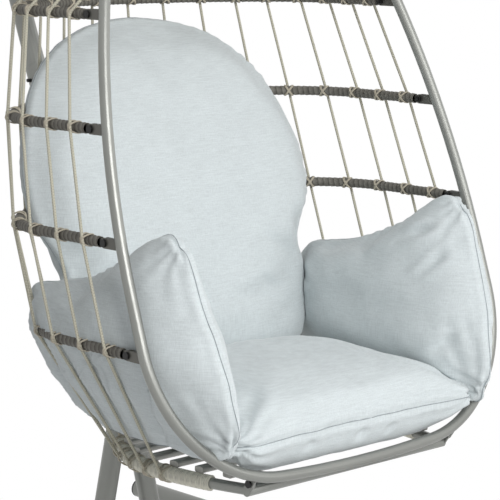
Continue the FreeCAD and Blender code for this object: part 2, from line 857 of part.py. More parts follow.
def make_arm_cushion(back_clearance):
    """The right arm cushion: it lies along the side and tucks down past the seat."""
    top = seat_top() + SOFT_GAP
    side = [seat_point(0, ARM_FRONT_Y, ARM_BOTTOM),
            seat_point(0, ARM_LOW_BACK_Y, ARM_BOTTOM),
            seat_point(0, ARM_BACK_Y, (ARM_BOTTOM + ARM_TOP_BACK) / 2),
            seat_point(0, ARM_BACK_Y, ARM_TOP_BACK),
            seat_point(0, ARM_FRONT_Y + 95.0, ARM_TOP_FRONT)]
    outline = prism(side, X_AXIS * (ARM_OUTER_X + 100))
    section = [(ARM_INNER_X, 60.0), (ARM_OUTER_X, 60.0), (ARM_OUTER_X, -205.0),
               (ARM_FOOT_X, ARM_BOTTOM), (SEAT_HALF_WIDTH + 6.0, ARM_BOTTOM),
               (SEAT_HALF_WIDTH + 6.0, top), (ARM_INNER_X - 15.0, top)]
    corners = [seat_point(x, -600.0, z) for x, z in section]
    body = prism(corners, Y_AXIS * 1200)
    plan = half_loop(ARM_OUTER_X, ARM_FRONT_Y - 50.0, 290.0, 385.0, ARM_BOTTOM - 50.0)
    basket = closed_face(plan + mirrored_path(plan)).extrude(Z_AXIS * 600)
    return outline.common(body).common(basket).cut(back_clearance)


# ================================================================ hanger
def hang_point(z):
    return V(0, DATUM_Y + HANG_Y, z)


def bow_path():
    """The bow in the middle plane, from its straight foot over the top to its tip."""
    post_direction = V(0, math.sin(math.radians(POST_LEAN)), math.cos(math.radians(POST_LEAN)))
    foot = V(0, DATUM_Y + POST_FOOT_Y, POST_FOOT_Z) + post_direction * POST_LENGTH
    bend_start = foot + post_direction * BOW_STRAIGHT
    centre = bend_start + X_AXIS.cross(post_direction) * BOW_RADIUS
    over = arc(bend_start, centre, X_AXIS, POST_LEAN + 90 + BOW_TIP_DROP)
    tip_direction = tangent_at_start(over)
    tip_direction = FreeCAD.Rotation(X_AXIS, over[5]).multVec(tip_direction)
    overhang = (over[2].y - DATUM_Y - HANG_Y + 24.0) / -tip_direction.y
    return [line(foot, bend_start), over, line(over[2], over[2] + tip_direction * overhang)]


def post_path():
    direction = V(0, math.sin(math.radians(POST_LEAN)), math.cos(math.radians(POST_LEAN)))
    foot = V(0, DATUM_Y + POST_FOOT_Y, POST_FOOT_Z)
    return [line(foot, foot + direction * POST_LENGTH)]


def bow_height_at_hanger():
    """Height of the bow's centre line over the hanger."""
    tip = bow_path()[2]
    share = (tip[1].y - DATUM_Y - HANG_Y) / (tip[1].y - tip[2].y)
    return tip[1].z + (tip[2].z - tip[1].z) * share


def bow_eye():
    """Middle of the hole in the bow's eye plate."""
    return hang_point(bow_height_at_hanger() - POST_TUBE / 2 - EYE_HOLE / 2 - 6.0)


def swing_pivot():
    """Middle of the link's upper end, resting in the bow's eye."""
    return bow_eye() - Z_AXIS * (EYE_HOLE / 2 - LINK_ROD / 2 - RUNNING_GAP)


def swivel_eye():
    """Middle of the hole in the swivel's eye, hanging on the link's lower end."""
    link_end = swing_pivot() - Z_AXIS * LINK_LENGTH
    return link_end - Z_AXIS * (EYE_HOLE / 2 - LINK_ROD / 2 - RUNNING_GAP)


def make_bow():
    bow = tube_along(bow_path(), POST_TUBE, POST_WALL, TUBE_SIDES)
    tip = bow_path()[2]
    inward = tangent_at_start(tip) * -END_CAP_DEPTH
    bow = bow.cut(cylinder(tip[2] + inward, tip[2], POST_TUBE - 2 * POST_WALL))
    eye = eye_plate(bow_eye(), bow_eye() + Z_AXIS * 12.0)
    core = tube_along(bow_path(), POST_TUBE, sides=TUBE_SIDES)
    return fused([bow, eye.cut(core)])


def make_link():
    """A closed oval link across X, hanging in the bow's eye."""
    top = swing_pivot()
    bend = LINK_HALF_WIDTH
    upper = top - Z_AXIS * bend
    lower = top - Z_AXIS * (LINK_LENGTH - bend)
    side = X_AXIS * bend
    path = [arc(upper + side, upper, -Y_AXIS, 180),
            line(upper - side, lower - side),
            arc(lower - side, lower, -Y_AXIS, 180),
            line(lower + side, upper + side)]
    return tube_along(path, LINK_ROD, sides=ROD_SIDES)


def link_side():
    return swing_pivot() + X_AXIS * LINK_HALF_WIDTH - Z_AXIS * (LINK_LENGTH / 2)


def make_link_nut():
    """The screw sleeve that closes the link."""
    middle = link_side()
    half = Z_AXIS * 8.0
    return cylinder(middle - half, middle + half, LINK_ROD + 5.0).cut(
        cylinder(middle - half, middle + half, LINK_ROD + 2 * SEAT_GAP))


def swivel_top():
    """Top of the swivel's housing."""
    return swivel_eye().z - EYE_HOLE / 2 - 4.0


def make_swivel_eye():
    """The upper half of the swivel: an eye on a hollow housing."""
    top = hang_point(swivel_top())
    eye = eye_plate(swivel_eye(), top)
    eye = eye.cut(cylinder(top - Z_AXIS * 60.0, top, 80.0))
    housing = cylinder(top - Z_AXIS * SWIVEL_HEIGHT, top, SWIVEL_BODY)
    cavity = cylinder(top - Z_AXIS * (SWIVEL_HEIGHT - 4.0), top - Z_AXIS * 4.0, SWIVEL_BODY - 6.0)
    throat = cylinder(top - Z_AXIS * SWIVEL_HEIGHT, top - Z_AXIS * 8.0, SWIVEL_PIN + SWIVEL_FIT)
    return fused([eye, housing]).cut(cavity).cut(throat)


def swivel_base():
    return swivel_top() - SWIVEL_HEIGHT


def make_swivel_pin():
    """The headed pin that turns in the housing and carries the spring's cap."""
    base = swivel_base()
    head_low = base + 4.0 + RUNNING_GAP
    head = cylinder(hang_point(head_low), hang_point(head_low + 7.0), SWIVEL_BODY - 9.0)
    shank = cylinder(hang_point(base - 4.0), hang_point(head_low), SWIVEL_PIN)
    cap = cylinder(hang_point(base - 10.0), hang_point(base - RUNNING_GAP), 2 * SPRING_RADIUS + SPRING_ROD)
    return fused([head, shank, cap])


def spring_top():
    return swivel_base() - 10.0


def spring_bottom():
    return spring_top() - SPRING_TURNS * SPRING_ROD - 2 * SEAT_GAP


def make_spring():
    """The close-wound coil spring: a sleeve with a ridge for each turn of the wire."""
    outer = SPRING_RADIUS + SPRING_ROD / 2
    height = spring_top() - SEAT_GAP
    outlines = [regular_outline(hang_point(height), SPRING_RADIUS)]
    for turn in range(SPRING_TURNS):
        ridge = hang_point(height - (turn + 0.5) * SPRING_ROD)
        groove = hang_point(height - (turn + 1) * SPRING_ROD)
        outlines += [regular_outline(ridge, outer), regular_outline(groove, SPRING_RADIUS)]
    low = height - SPRING_TURNS * SPRING_ROD
    core = cylinder(hang_point(low - 1.0), hang_point(height + 1.0), 2 * SPRING_RADIUS - SPRING_ROD)
    return Part.makeLoft(outlines, True, True).cut(core)


def regular_outline(centre, radius):
    """A level outline with equal sides."""
    corners = []
    for step in range(COIL_SIDES):
        angle = 2 * math.pi * step / COIL_SIDES
        corners.append(centre + V(math.cos(angle), math.sin(angle), 0) * radius)
    return Part.makePolygon(corners + corners[:1])


def crown_height():
    """Top of the hoop at its crown."""
    return hoop_crown().z + HOOP_TUBE / 2


def crown_eye():
    """Middle of the hole in the crown's eye plate."""
    return hang_point(crown_height() + CROWN_THICKNESS + EYE_HOLE / 2 + 4.0)


def make_spring_hook():
    """The cap under the spring, and the hook below it that carries the crown's eye."""
    cap_top = hang_point(spring_bottom())
    cap_low = cap_top - Z_AXIS * 6.0
    cap = cylinder(cap_low, cap_top, 2 * SPRING_RADIUS + SPRING_ROD)
    seat = crown_eye() + Z_AXIS * (EYE_HOLE / 2 - HOOK_ROD / 2 - SEAT_GAP)
    centre = seat + Z_AXIS * HOOK_BEND
    top = centre + Z_AXIS * HOOK_BEND
    hook = tube_along([arc(top, centre, Y_AXIS, 300)], HOOK_ROD, sides=ROD_SIDES)
    stem = cylinder(top - Z_AXIS * 1.0, cap_low, HOOK_ROD + 2.0)
    return fused([fused([cap, stem]), hook])


def make_crown():
    """The plate welded on the hoop's crown, with the eye that hangs the basket."""
    foot = hang_point(crown_height())
    top = foot + Z_AXIS * CROWN_THICKNESS
    plate = cylinder(foot, top, 2 * CROWN_RADIUS)
    eye = eye_plate(crown_eye(), top)
    eye = eye.cut(cylinder(top - Z_AXIS * 60.0, top, 80.0))
    return fused([plate, eye])


# ================================================================ stand
def make_post():
    return tube_along(post_path(), POST_TUBE, POST_WALL)


def make_sleeve():
    """The outer sleeve over the joint between the post and the bow."""
    joint = post_path()[0][2]
    along = tangent_at_start(post_path()[0]) * (SLEEVE_LENGTH / 2)
    path = [line(joint - along, joint + along)]
    wall = (SLEEVE_TUBE - POST_TUBE) / 2 - SEAT_GAP
    return tube_along(path, SLEEVE_TUBE, wall)


def sleeve_bolt_points():
    joint = post_path()[0][2]
    along = tangent_at_start(post_path()[0])
    return [joint + along * offset for offset in (-SLEEVE_LENGTH / 4, SLEEVE_LENGTH / 4)]


def cross_bolt(centre, width):
    """A bolt right through a tube, along X, with a round head and a nut's tip."""
    half = width / 2 + SEAT_GAP
    head = cylinder(centre + X_AXIS * half, centre + X_AXIS * (half + BOLT_HEAD_HEIGHT), BOLT_HEAD)
    shank = cylinder(centre - X_AXIS * (half + NUT_HEIGHT + 3.0), centre + X_AXIS * half, STAND_BOLT)
    return fused([head, shank])


def bolt_drill(centre):
    reach = X_AXIS * 60
    return cylinder(centre - reach, centre + reach, STAND_BOLT + 2 * SEAT_GAP)


def leg_line():
    """Centre line of the right leg, from its top to the cross tube."""
    top = V(LEG_TUBE / 2 + 4.0, DATUM_Y + LEG_Y, LEG_TOP_Z)
    low = base_axis_height()
    drop = LEG_TOP_Z - low
    return line(top, V(top.x + LEG_SPLAY * drop, top.y, low))


def base_axis_height():
    return PAD_HEIGHT + BASE_TUBE / 2


def cross_tube_line():
    y = DATUM_Y + LEG_Y
    z = base_axis_height()
    half = RUNNER_X - BASE_TUBE / 2 - FLANGE_THICKNESS - SEAT_GAP
    return line(V(-half, y, z), V(half, y, z))


def make_leg():
    """A leg tube, its foot cut to saddle the cross tube."""
    leg = tube_along([leg_line()], LEG_TUBE, POST_WALL)
    cross = cross_tube_line()
    return leg.cut(cylinder(cross[1], cross[2], BASE_TUBE + 2 * SEAT_GAP))


def hub_top():
    return post_path()[0][1]


def make_hub():
    """The forged fork that joins the post's foot to the two legs."""
    direction = tangent_at_start(post_path()[0])
    foot = hub_top()
    socket_depth = 60.0
    cup = cylinder(foot - direction * 12, foot + direction * socket_depth, POST_TUBE + 10.0)
    cup = cup.cut(cylinder(foot, foot + direction * (socket_depth + 1), POST_TUBE + 2 * SEAT_GAP))
    leg = leg_line()
    along = tangent_at_start(leg)
    arms = []
    for arm_top, arm_along in ((leg[1], along), (V(-leg[1].x, leg[1].y, leg[1].z), V(-along.x, along.y, along.z))):
        inner = arm_top + arm_along * 50.0
        arms.append(cylinder(arm_top - arm_along * 1.0, inner, LEG_TUBE - 2 * POST_WALL - 2 * SEAT_GAP))
        shoulder = Part.makeCone(LEG_TUBE / 2, LEG_TUBE / 2 - 2.0, 18.0, arm_top - arm_along * SEAT_GAP, arm_along * -1)
        arms.append(shoulder)
        arms.append(cylinder(arm_top - arm_along * 10.0, foot - direction * 6.0, LEG_TUBE - 8.0))
    return fused([cup] + arms)


def leg_bolt_point():
    leg = leg_line()
    return leg[1] + tangent_at_start(leg) * 28.0


def make_leg_bolt():
    """A bolt through the leg and the fork's spigot, along Y."""
    centre = leg_bolt_point()
    half = LEG_TUBE / 2 + SEAT_GAP
    head = cylinder(centre + Y_AXIS * half, centre + Y_AXIS * (half + BOLT_HEAD_HEIGHT), BOLT_HEAD)
    shank = cylinder(centre - Y_AXIS * (half + 5.0), centre + Y_AXIS * half, STAND_BOLT)
    return fused([head, shank])


def leg_drills():
    centre = leg_bolt_point()
    drill = cylinder(centre - Y_AXIS * 40, centre + Y_AXIS * 40, STAND_BOLT + 2 * SEAT_GAP)
    return fused(both_sides(drill))


def runner_ends():
    """Front and back ends of the right runner's centre line."""
    rear_y = -(DATUM_Y + RUNNER_FRONT_Y)
    z = base_axis_height()
    return V(RUNNER_X, DATUM_Y + RUNNER_FRONT_Y, z), V(RUNNER_X, rear_y, z)


def make_runner():
    front, rear = runner_ends()
    return tube_along([line(front, rear)], BASE_TUBE, BASE_WALL)


def flange_bolt_points():
    y = DATUM_Y + LEG_Y
    z = base_axis_height()
    return [V(RUNNER_X, y + offset, z) for offset in (-FLANGE_WIDTH / 2 + 14.0, FLANGE_WIDTH / 2 - 14.0)]


def make_cross_tube():
    """The cross tube with the flange plates welded on its ends."""
    cross = cross_tube_line()
    tube = tube_along([cross], BASE_TUBE, BASE_WALL)
    end = cross[2]
    low = V(end.x, end.y - FLANGE_WIDTH / 2, end.z - BASE_TUBE / 2)
    high = V(end.x + FLANGE_THICKNESS, end.y + FLANGE_WIDTH / 2, end.z + BASE_TUBE / 2)
    flange = box(low, high)
    for point in flange_bolt_points():
        flange = flange.cut(bolt_drill(point))
    bore = cylinder(end, end + X_AXIS * FLANGE_THICKNESS, BASE_TUBE - 2 * BASE_WALL)
    return fused([tube] + both_sides(flange.cut(bore)))


def make_flange_bolt(point):
    head_face = point + X_AXIS * (BASE_TUBE / 2 + SEAT_GAP)
    tip = point - X_AXIS * (BASE_TUBE / 2 + FLANGE_THICKNESS + 10.0)
    head = cylinder(head_face, head_face + X_AXIS * BOLT_HEAD_HEIGHT, BOLT_HEAD)
    return fused([head, cylinder(tip, head_face, STAND_BOLT)])


def make_end_cap(centre, direction):
    """A plastic plug in a tube's end."""
    plug = cylinder(centre - direction * (END_CAP_DEPTH - 2.0), centre, BASE_TUBE - 2 * BASE_WALL - 2 * SEAT_GAP)
    lid = cylinder(centre + direction * SEAT_GAP, centre + direction * 5.0, BASE_TUBE)
    neck = cylinder(centre - direction * 1.0, centre + direction * 1.0, BASE_TUBE - 2 * BASE_WALL - 2.0)
    return fused([plug, neck, lid])


def make_pad(y):
    """A rubber foot under the right runner, hollowed to its tube."""
    half = 26.0
    z = base_axis_height()
    block = box(V(RUNNER_X - 18.0, y - half, 0), V(RUNNER_X + 18.0, y + half, z - 10.0))
    saddle = cylinder(V(RUNNER_X, y - half - 1, z), V(RUNNER_X, y + half + 1, z), BASE_TUBE + 2 * SEAT_GAP)
    return block.cut(saddle)


# ================================================================ the whole chair
def build_basket():
    hoop = make_hoop()
    yokes = []
    for row in range(len(RAIL_HEIGHTS)):
        yokes += both_sides(make_yoke(row).cut(hoop))
        write("rail_%d" % (row + 1), [make_rail(row)])
    write("front_hoop", [hoop])
    write("rail_yokes", yokes)
    rows = range(len(RAIL_HEIGHTS))
    write("rail_bolts", [solid for row in rows for solid in both_sides(make_rail_bolt(row))])
    write("rail_nuts", [solid for row in rows for solid in both_sides(make_rail_nut(row))])
    seat_ring = make_seat_ring()
    write("seat_ring", [seat_ring])
    write("seat_ring_wrap", [make_ring_wrap()])
    write("seat_slats", make_slats())
    write("hoop_seat_tabs", both_sides(make_hoop_tab().cut(hoop)))
    write("ring_seat_tabs", both_sides(make_ring_tab(seat_ring)))
    write("seat_tab_bolts", both_sides(make_tab_bolt()))
    write("seat_tab_nuts", both_sides(make_tab_nut()))
    strands = [make_strand(index) for index in range(len(STRAND_SPREAD))]
    write("strands_right", strands)
    write("strands_left", [mirrored(strand) for strand in strands])
    write("canopy_rim", [make_canopy_rim().cut(hoop)])
    write("canopy_skin", [make_canopy_skin()])
    ribs = []
    for share in (0.33, 0.78):
        ribs += both_sides(make_rib(share))
    write("canopy_ribs", ribs)
    write("crown_plate", [make_crown()])


def build_cushions():
    write("seat_cushion", [make_seat_cushion()])
    write("back_cushion", [make_back_cushion()])
    arm = make_arm_cushion(make_back_cushion(2.0))
    write("arm_cushion_right", [arm])
    write("arm_cushion_left", [mirrored(arm)])


def build_hanger():
    write("hanging_link", [make_link()])
    write("link_sleeve_nut", [make_link_nut()])
    write("swivel_eye", [make_swivel_eye()])
    write("swivel_pin", [make_swivel_pin()])
    write("spring", [make_spring()])
    write("spring_hook", [make_spring_hook()])


def build_stand():
    sleeve_drills = [bolt_drill(point) for point in sleeve_bolt_points()]
    bow = make_bow()
    post = make_post()
    sleeve = make_sleeve()
    for drill in sleeve_drills:
        bow = bow.cut(drill)
        post = post.cut(drill)
        sleeve = sleeve.cut(drill)
    write("upper_bow", [bow])
    write("lower_post", [post])
    write("post_sleeve", [sleeve])
    write("sleeve_bolts", [cross_bolt(point, SLEEVE_TUBE) for point in sleeve_bolt_points()])
    tip = bow_path()[2]
    write("bow_end_cap", [make_end_cap(tip[2], tangent_at_start(tip))])
    drills = leg_drills()
    leg = make_leg().cut(drills)
    write("leg_right", [leg])
    write("leg_left", [mirrored(leg)])
    write("post_fork", [make_hub().cut(drills)])
    write("leg_bolts", both_sides(make_leg_bolt()))
    write("base_cross_tube", [make_cross_tube()])
    runner = make_runner()
    for point in flange_bolt_points():
        runner = runner.cut(bolt_drill(point))
    write("base_runner_right", [runner])
    write("base_runner_left", [mirrored(runner)])
    bolts = [make_flange_bolt(point) for point in flange_bolt_points()]
    write("base_bolts", bolts + [mirrored(bolt) for bolt in bolts])
    front, rear = runner_ends()
    caps = [make_end_cap(front, -Y_AXIS), make_end_cap(rear, Y_AXIS)]
    write("runner_end_caps", caps + [mirrored(cap) for cap in caps])
    pads = [make_pad(front.y + 60.0), make_pad(rear.y - 60.0)]
    write("rubber_feet", pads + [mirrored(pad) for pad in pads])


os.makedirs("parts", exist_ok=True)
build_stand()
build_hanger()
build_basket()
build_cushions()
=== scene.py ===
import math

import bmesh
import bpy
from mathutils import Matrix, Vector, kdtree, noise
from mathutils.bvhtree import BVHTree
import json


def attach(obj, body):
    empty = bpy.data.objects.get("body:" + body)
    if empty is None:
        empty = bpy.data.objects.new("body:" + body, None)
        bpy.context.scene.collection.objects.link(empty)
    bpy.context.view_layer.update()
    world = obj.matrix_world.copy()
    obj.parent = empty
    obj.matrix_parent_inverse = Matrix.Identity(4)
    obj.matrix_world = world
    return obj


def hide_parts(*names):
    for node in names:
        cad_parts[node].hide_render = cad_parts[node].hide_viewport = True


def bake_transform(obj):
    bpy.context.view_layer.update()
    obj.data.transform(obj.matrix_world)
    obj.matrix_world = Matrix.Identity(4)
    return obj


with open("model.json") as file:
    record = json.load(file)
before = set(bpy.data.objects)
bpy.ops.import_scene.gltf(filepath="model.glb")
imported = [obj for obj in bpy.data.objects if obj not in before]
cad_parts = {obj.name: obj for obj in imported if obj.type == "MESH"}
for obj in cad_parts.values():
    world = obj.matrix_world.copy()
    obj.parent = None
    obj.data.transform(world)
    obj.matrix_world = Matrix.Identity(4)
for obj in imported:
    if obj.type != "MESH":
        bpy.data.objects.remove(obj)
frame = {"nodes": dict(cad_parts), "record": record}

# ---------------------------------------------------------------- sizes, in metres
DATUM_Y = -0.270            # the third rail's pivots
DATUM_Z = 0.880
PATH_STEP = 0.004

HOOP_LEAN = math.radians(18.3)
HOOP_SETBACK = 0.044
HOOP_BOTTOM = -0.4845
HOOP_TUBE = 0.022
# Bends as (radius, degrees), and a straight run as (None, length).
HOOP_SIDE = ((3.0, 4.0), (0.284, 86.0), (None, 0.090), (1.9, 17.0), (0.650, 23.0))
HOOP_CROWN_TURN = 50.0

RAIL_RADIUS = 0.0092
RAIL_HEIGHTS = (0.411, 0.2035, 0.0, -0.2006)
RAIL_DEPTHS = (0.558, 0.545, 0.510, 0.432)
RAIL_SIDE_RUN = (0.160, 0.180, 0.200, 0.200)
RAIL_BEND = 50.0
TAPE_START = 0.014          # from a rail's pivot to the first turn of tape
TAPE_PITCH = 0.0125
TAPE_STEP = 0.0015
TAPE_GAP = 0.0003           # between the rail and the thin edge of the tape
TAPE_RISE = 0.0012

STRAND_RADIUS = 0.003
STRAND_LIFT = 1.18
STRAND_BEND = 0.010         # how far from a rail a strand starts to turn
STRAND_SPREAD = (0.065, 0.16, 0.26, 0.36, 0.465, 0.565, 0.68, 0.805, 0.93)

CORD_RADIUS = 0.0012        # lashing cord
LASH_REACH = 0.0085         # half the width of a lashing's cross
LASH_TURNS = (-0.0013, 0.0013)
LASH_STEPS = 22
LASH_PEAK = 0.7             # how far round, in radians, the cord is lifted by the strand
RING_LASHED = 0.0155        # radius at which cord lies round the wound ring

CANOPY_EDGE = 0.442
CANOPY_BACK = 0.556
CANOPY_ROUNDNESS = 1.8
CANOPY_FRONT = 0.04         # how far the weave's lines run on in front of the hoop, before they are cut
CANOPY_BEHIND = 0.006       # from the hoop's centre line to the weave
FIRST_COURSE = 0.012        # shares of the canopy's rise
LAST_COURSE = 0.985
RIM_RADIUS = 0.005
COURSE_PITCH = 0.0085
COURSE_RADIUS = 0.0036
STAKE_COUNT = 36            # on each half of the canopy
STAKE_STOP = 6              # courses above the last stake point
STAKE_RADIUS = 0.0024
WEAVE_SWING = 0.0028

RING_HEIGHT = -0.476
RING_FRONT_Y = -0.165
RING_FRONT_HALF = 0.262
RING_HALF_WIDTH = 0.334
RING_BACK_Y = 0.356
RING_BOW_RUN = 0.25         # over which the ring's sides spread
RING_LEAD_RUN = 0.040
RING_LEAD_RADIUS = 0.7
RING_TIE_OUT = 0.0182       # from the ring's centre line to a strand's end
RING_TIE_FIRST = 0.24       # shares of the ring's half between which the strands end
RING_TIE_SPREAD = 0.72
RING_CORE = 0.0128          # radius inside the ring's winding cord
RING_CORD = 0.0056          # width of one turn of the winding cord
RING_WIND_START = 0.085

HANG_Y = -0.095
SPRING_TOP = 1.7852
SPRING_LOW = 1.7491
SPRING_RADIUS = 0.020
SPRING_WIRE = 0.0029
SPRING_TURNS = 6
SPRING_STEPS = 28           # in each turn

UP = Vector((0, 0, 1))


# ---------------------------------------------------------------- lines
def arc_chain(start, heading, turns):
    """Points on a flat line of straight runs and left-hand bends."""
    points = [Vector(start)]
    angle = math.radians(heading)
    for radius, amount in turns:
        turn = 0.0 if radius is None else math.radians(amount)
        length = amount if radius is None else radius * turn
        steps = max(2, round(length / PATH_STEP))
        share = turn / steps
        chord = length / steps if radius is None else 2 * radius * math.sin(share / 2)
        for _ in range(steps):
            angle += share / 2
            points.append(points[-1] + Vector((math.cos(angle), math.sin(angle))) * chord)
            angle += share / 2
    return points


def lengths(points):
    """How far along the line each point lies."""
    total = [0.0]
    for before, after in zip(points, points[1:]):
        total.append(total[-1] + (after - before).length)
    return total


def resampled(points, spacing):
    """The same line with equal steps."""
    total = lengths(points)
    count = max(2, round(total[-1] / spacing))
    result = []
    index = 0
    for step in range(count + 1):
        target = total[-1] * step / count
        while index < len(points) - 2 and total[index + 1] < target:
            index += 1
        share = (target - total[index]) / max(total[index + 1] - total[index], 1e-9)
        result.append(points[index].lerp(points[index + 1], min(share, 1.0)))
    return result


def at_share(points, share):
    """The point at a share of a line's length, and the direction there."""
    total = lengths(points)
    target = total[-1] * share
    index = 0
    while index < len(points) - 2 and total[index + 1] < target:
        index += 1
    part = (target - total[index]) / (total[index + 1] - total[index])
    direction = (points[index + 1] - points[index]).normalized()
    return points[index].lerp(points[index + 1], part), direction


def mirrored(points):
    return [Vector((-point.x, point.y, point.z)) for point in points]


def whole(half):
    """A line from the right side round the back to the left side."""
    return half + list(reversed(mirrored(half)))[1:]


def trimmed(points, cut):
    """The line without its first and last stretch."""
    total = lengths(points)
    return [point for point, place in zip(points, total) if cut <= place <= total[-1] - cut]


def hoop_flat():
    """The hoop's right half, drawn flat from its foot to its crown."""
    side = arc_chain((0.0, HOOP_BOTTOM), 0, HOOP_SIDE)
    closing = side[-1].x / math.sin(math.radians(HOOP_CROWN_TURN))
    return arc_chain((0.0, HOOP_BOTTOM), 0, HOOP_SIDE + ((closing, HOOP_CROWN_TURN),))


HOOP_FLAT = hoop_flat()


def hoop_half_width(height):
    target = height / math.cos(HOOP_LEAN)
    for before, after in zip(HOOP_FLAT, HOOP_FLAT[1:]):
        if before.y <= target < after.y:
            return before.lerp(after, (target - before.y) / (after.y - before.y)).x
    return HOOP_FLAT[-1].x


def hoop_y(height):
    """How far the hoop's centre line lies behind the datum at a height."""
    return height * math.tan(HOOP_LEAN) - HOOP_SETBACK


def half_loop(side_x, start_y, side_run, back_y, height):
    """Half of a level U: a straight side, then two bends to the middle of the back."""
    depth = back_y - start_y - side_run
    turn = math.radians(RAIL_BEND)
    sine = math.sin(turn)
    cosine = math.cos(turn)
    wide = (side_x * sine - depth * (1 - cosine)) / (cosine * sine - (1 - sine) * (1 - cosine))
    tight = (depth - wide * (1 - sine)) / sine
    flat = arc_chain((side_x, start_y), 90, ((None, side_run), (tight, RAIL_BEND), (wide, 90 - RAIL_BEND)))
    return [Vector((point.x, point.y + DATUM_Y, height + DATUM_Z)) for point in flat]


def rail_half(row):
    height = RAIL_HEIGHTS[row]
    start_y = hoop_y(height) + HOOP_SETBACK
    return half_loop(hoop_half_width(height), start_y, RAIL_SIDE_RUN[row], RAIL_DEPTHS[row], height)


def rim_half():
    start_y = hoop_y(CANOPY_EDGE) + HOOP_TUBE / 2
    return half_loop(hoop_half_width(CANOPY_EDGE), start_y, RAIL_SIDE_RUN[0], CANOPY_BACK, CANOPY_EDGE)


def ring_half():
    """Half of the seat ring: a side that spreads out, then the bends to the middle of the back."""
    bow_out = math.degrees(math.atan2(RING_HALF_WIDTH - RING_FRONT_HALF, RING_BOW_RUN))
    start = (RING_FRONT_HALF, RING_FRONT_Y)
    lead = arc_chain(start, 90 - bow_out, ((None, RING_LEAD_RUN), (RING_LEAD_RADIUS, bow_out)))
    middle = lead[-1]
    back = half_loop(middle.x, middle.y, PATH_STEP / 2, RING_BACK_Y, RING_HEIGHT)
    front = [Vector((point.x, point.y + DATUM_Y, RING_HEIGHT + DATUM_Z)) for point in lead]
    return front[:-1] + back


RAILS = [rail_half(row) for row in range(len(RAIL_HEIGHTS))]
RIM = rim_half()
RING = ring_half()


def outward_of(along):
    """The level direction away from the basket, for a line that runs round it."""
    return along.cross(UP).normalized()


def beside(points, share, gap):
    """A point beside a level line on its outer side, with the line's own point and direction."""
    point, along = at_share(points, share)
    return point + outward_of(along) * gap, point, along


def crossings(share):
    """Where one right-hand strand crosses the rim, the rails and the ring, from the top down."""
    gap = (RAIL_RADIUS + STRAND_RADIUS) * STRAND_LIFT
    found = [beside(RIM, share, RIM_RADIUS + STRAND_RADIUS)]
    found += [beside(rail, share, gap) for rail in RAILS]
    found.append(beside(RING, RING_TIE_FIRST + RING_TIE_SPREAD * share, RING_TIE_OUT))
    return found


def strand_line(share):
    """A strand's centre line, turned softly over each rail."""
    knots = [knot for knot, _, _ in crossings(share)]
    line = [knots[0]]
    for before, knot, after in zip(knots, knots[1:], knots[2:]):
        come = knot + (before - knot).normalized() * STRAND_BEND
        leave = knot + (after - knot).normalized() * STRAND_BEND
        for step in range(5):
            part = step / 4
            line.append(come.lerp(knot, part).lerp(knot.lerp(leave, part), part))
    line.append(knots[-1])
    return line


# ---------------------------------------------------------------- meshes
def add_to_scene(name, mesh):
    piece = bpy.data.objects.new(name, mesh)
    bpy.context.scene.collection.objects.link(piece)
    return piece


def directions(points, closed):
    """The direction of the line at each of its points."""
    result = []
    count = len(points)
    for index in range(count):
        before = points[index - 1] if closed or index else points[0]
        after = points[(index + 1) % count] if closed or index < count - 1 else points[-1]
        result.append((after - before).normalized())
    return result


def tube_piece(name, runs, radius, sides, closed=False, profile=None, flat=1.0):
    """Round tubes along lines, as one piece. A run is (points, reference across the line).

    The UV map runs once round each tube, and along it in metres. profile(distance, turn) gives
    a radius that changes, and flat is the tube's width as a share of its height.
    """
    vertices = []
    faces = []
    texture = []
    for points, reference in runs:
        base = len(vertices)
        total = lengths(points)
        for index, (point, along) in enumerate(zip(points, directions(points, closed))):
            across = along.cross(reference).normalized()
            up = across.cross(along).normalized()
            for step in range(sides):
                angle = 2 * math.pi * step / sides
                reach = radius if profile is None else profile(total[index], step / sides)
                offset = across * (math.cos(angle) * reach * flat) + up * (math.sin(angle) * reach)
                vertices.append(point + offset)
        count = len(points)
        last = count if closed else count - 1
        for index in range(last):
            after = (index + 1) % count
            low = total[index]
            high = total[index] + (points[after] - points[index]).length
            for step in range(sides):
                turn = (step + 1) % sides
                faces.append((base + index * sides + step, base + index * sides + turn,
                              base + after * sides + turn, base + after * sides + step))
                texture += [(step / sides, low), ((step + 1) / sides, low),
                            ((step + 1) / sides, high), (step / sides, high)]
        if not closed:
            faces.append(tuple(base + step for step in reversed(range(sides))))
            faces.append(tuple(base + (count - 1) * sides + step for step in range(sides)))
            texture += [(0.5, 0.0)] * sides + [(0.5, total[-1])] * sides
    mesh = bpy.data.meshes.new(name)
    mesh.from_pydata(vertices, [], faces)
    layer = mesh.uv_layers.new(name="UVMap")
    layer.data.foreach_set("uv", [number for pair in texture for number in pair])
    mesh.polygons.foreach_set("use_smooth", [True] * len(mesh.polygons))
    return add_to_scene(name, mesh)


def belongs(piece, material, body="basket"):
    """Gives a piece its finish and the body that it moves with."""
    piece.data.materials.clear()
    piece.data.materials.append(material)
    if body is not None:
        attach(piece, body)


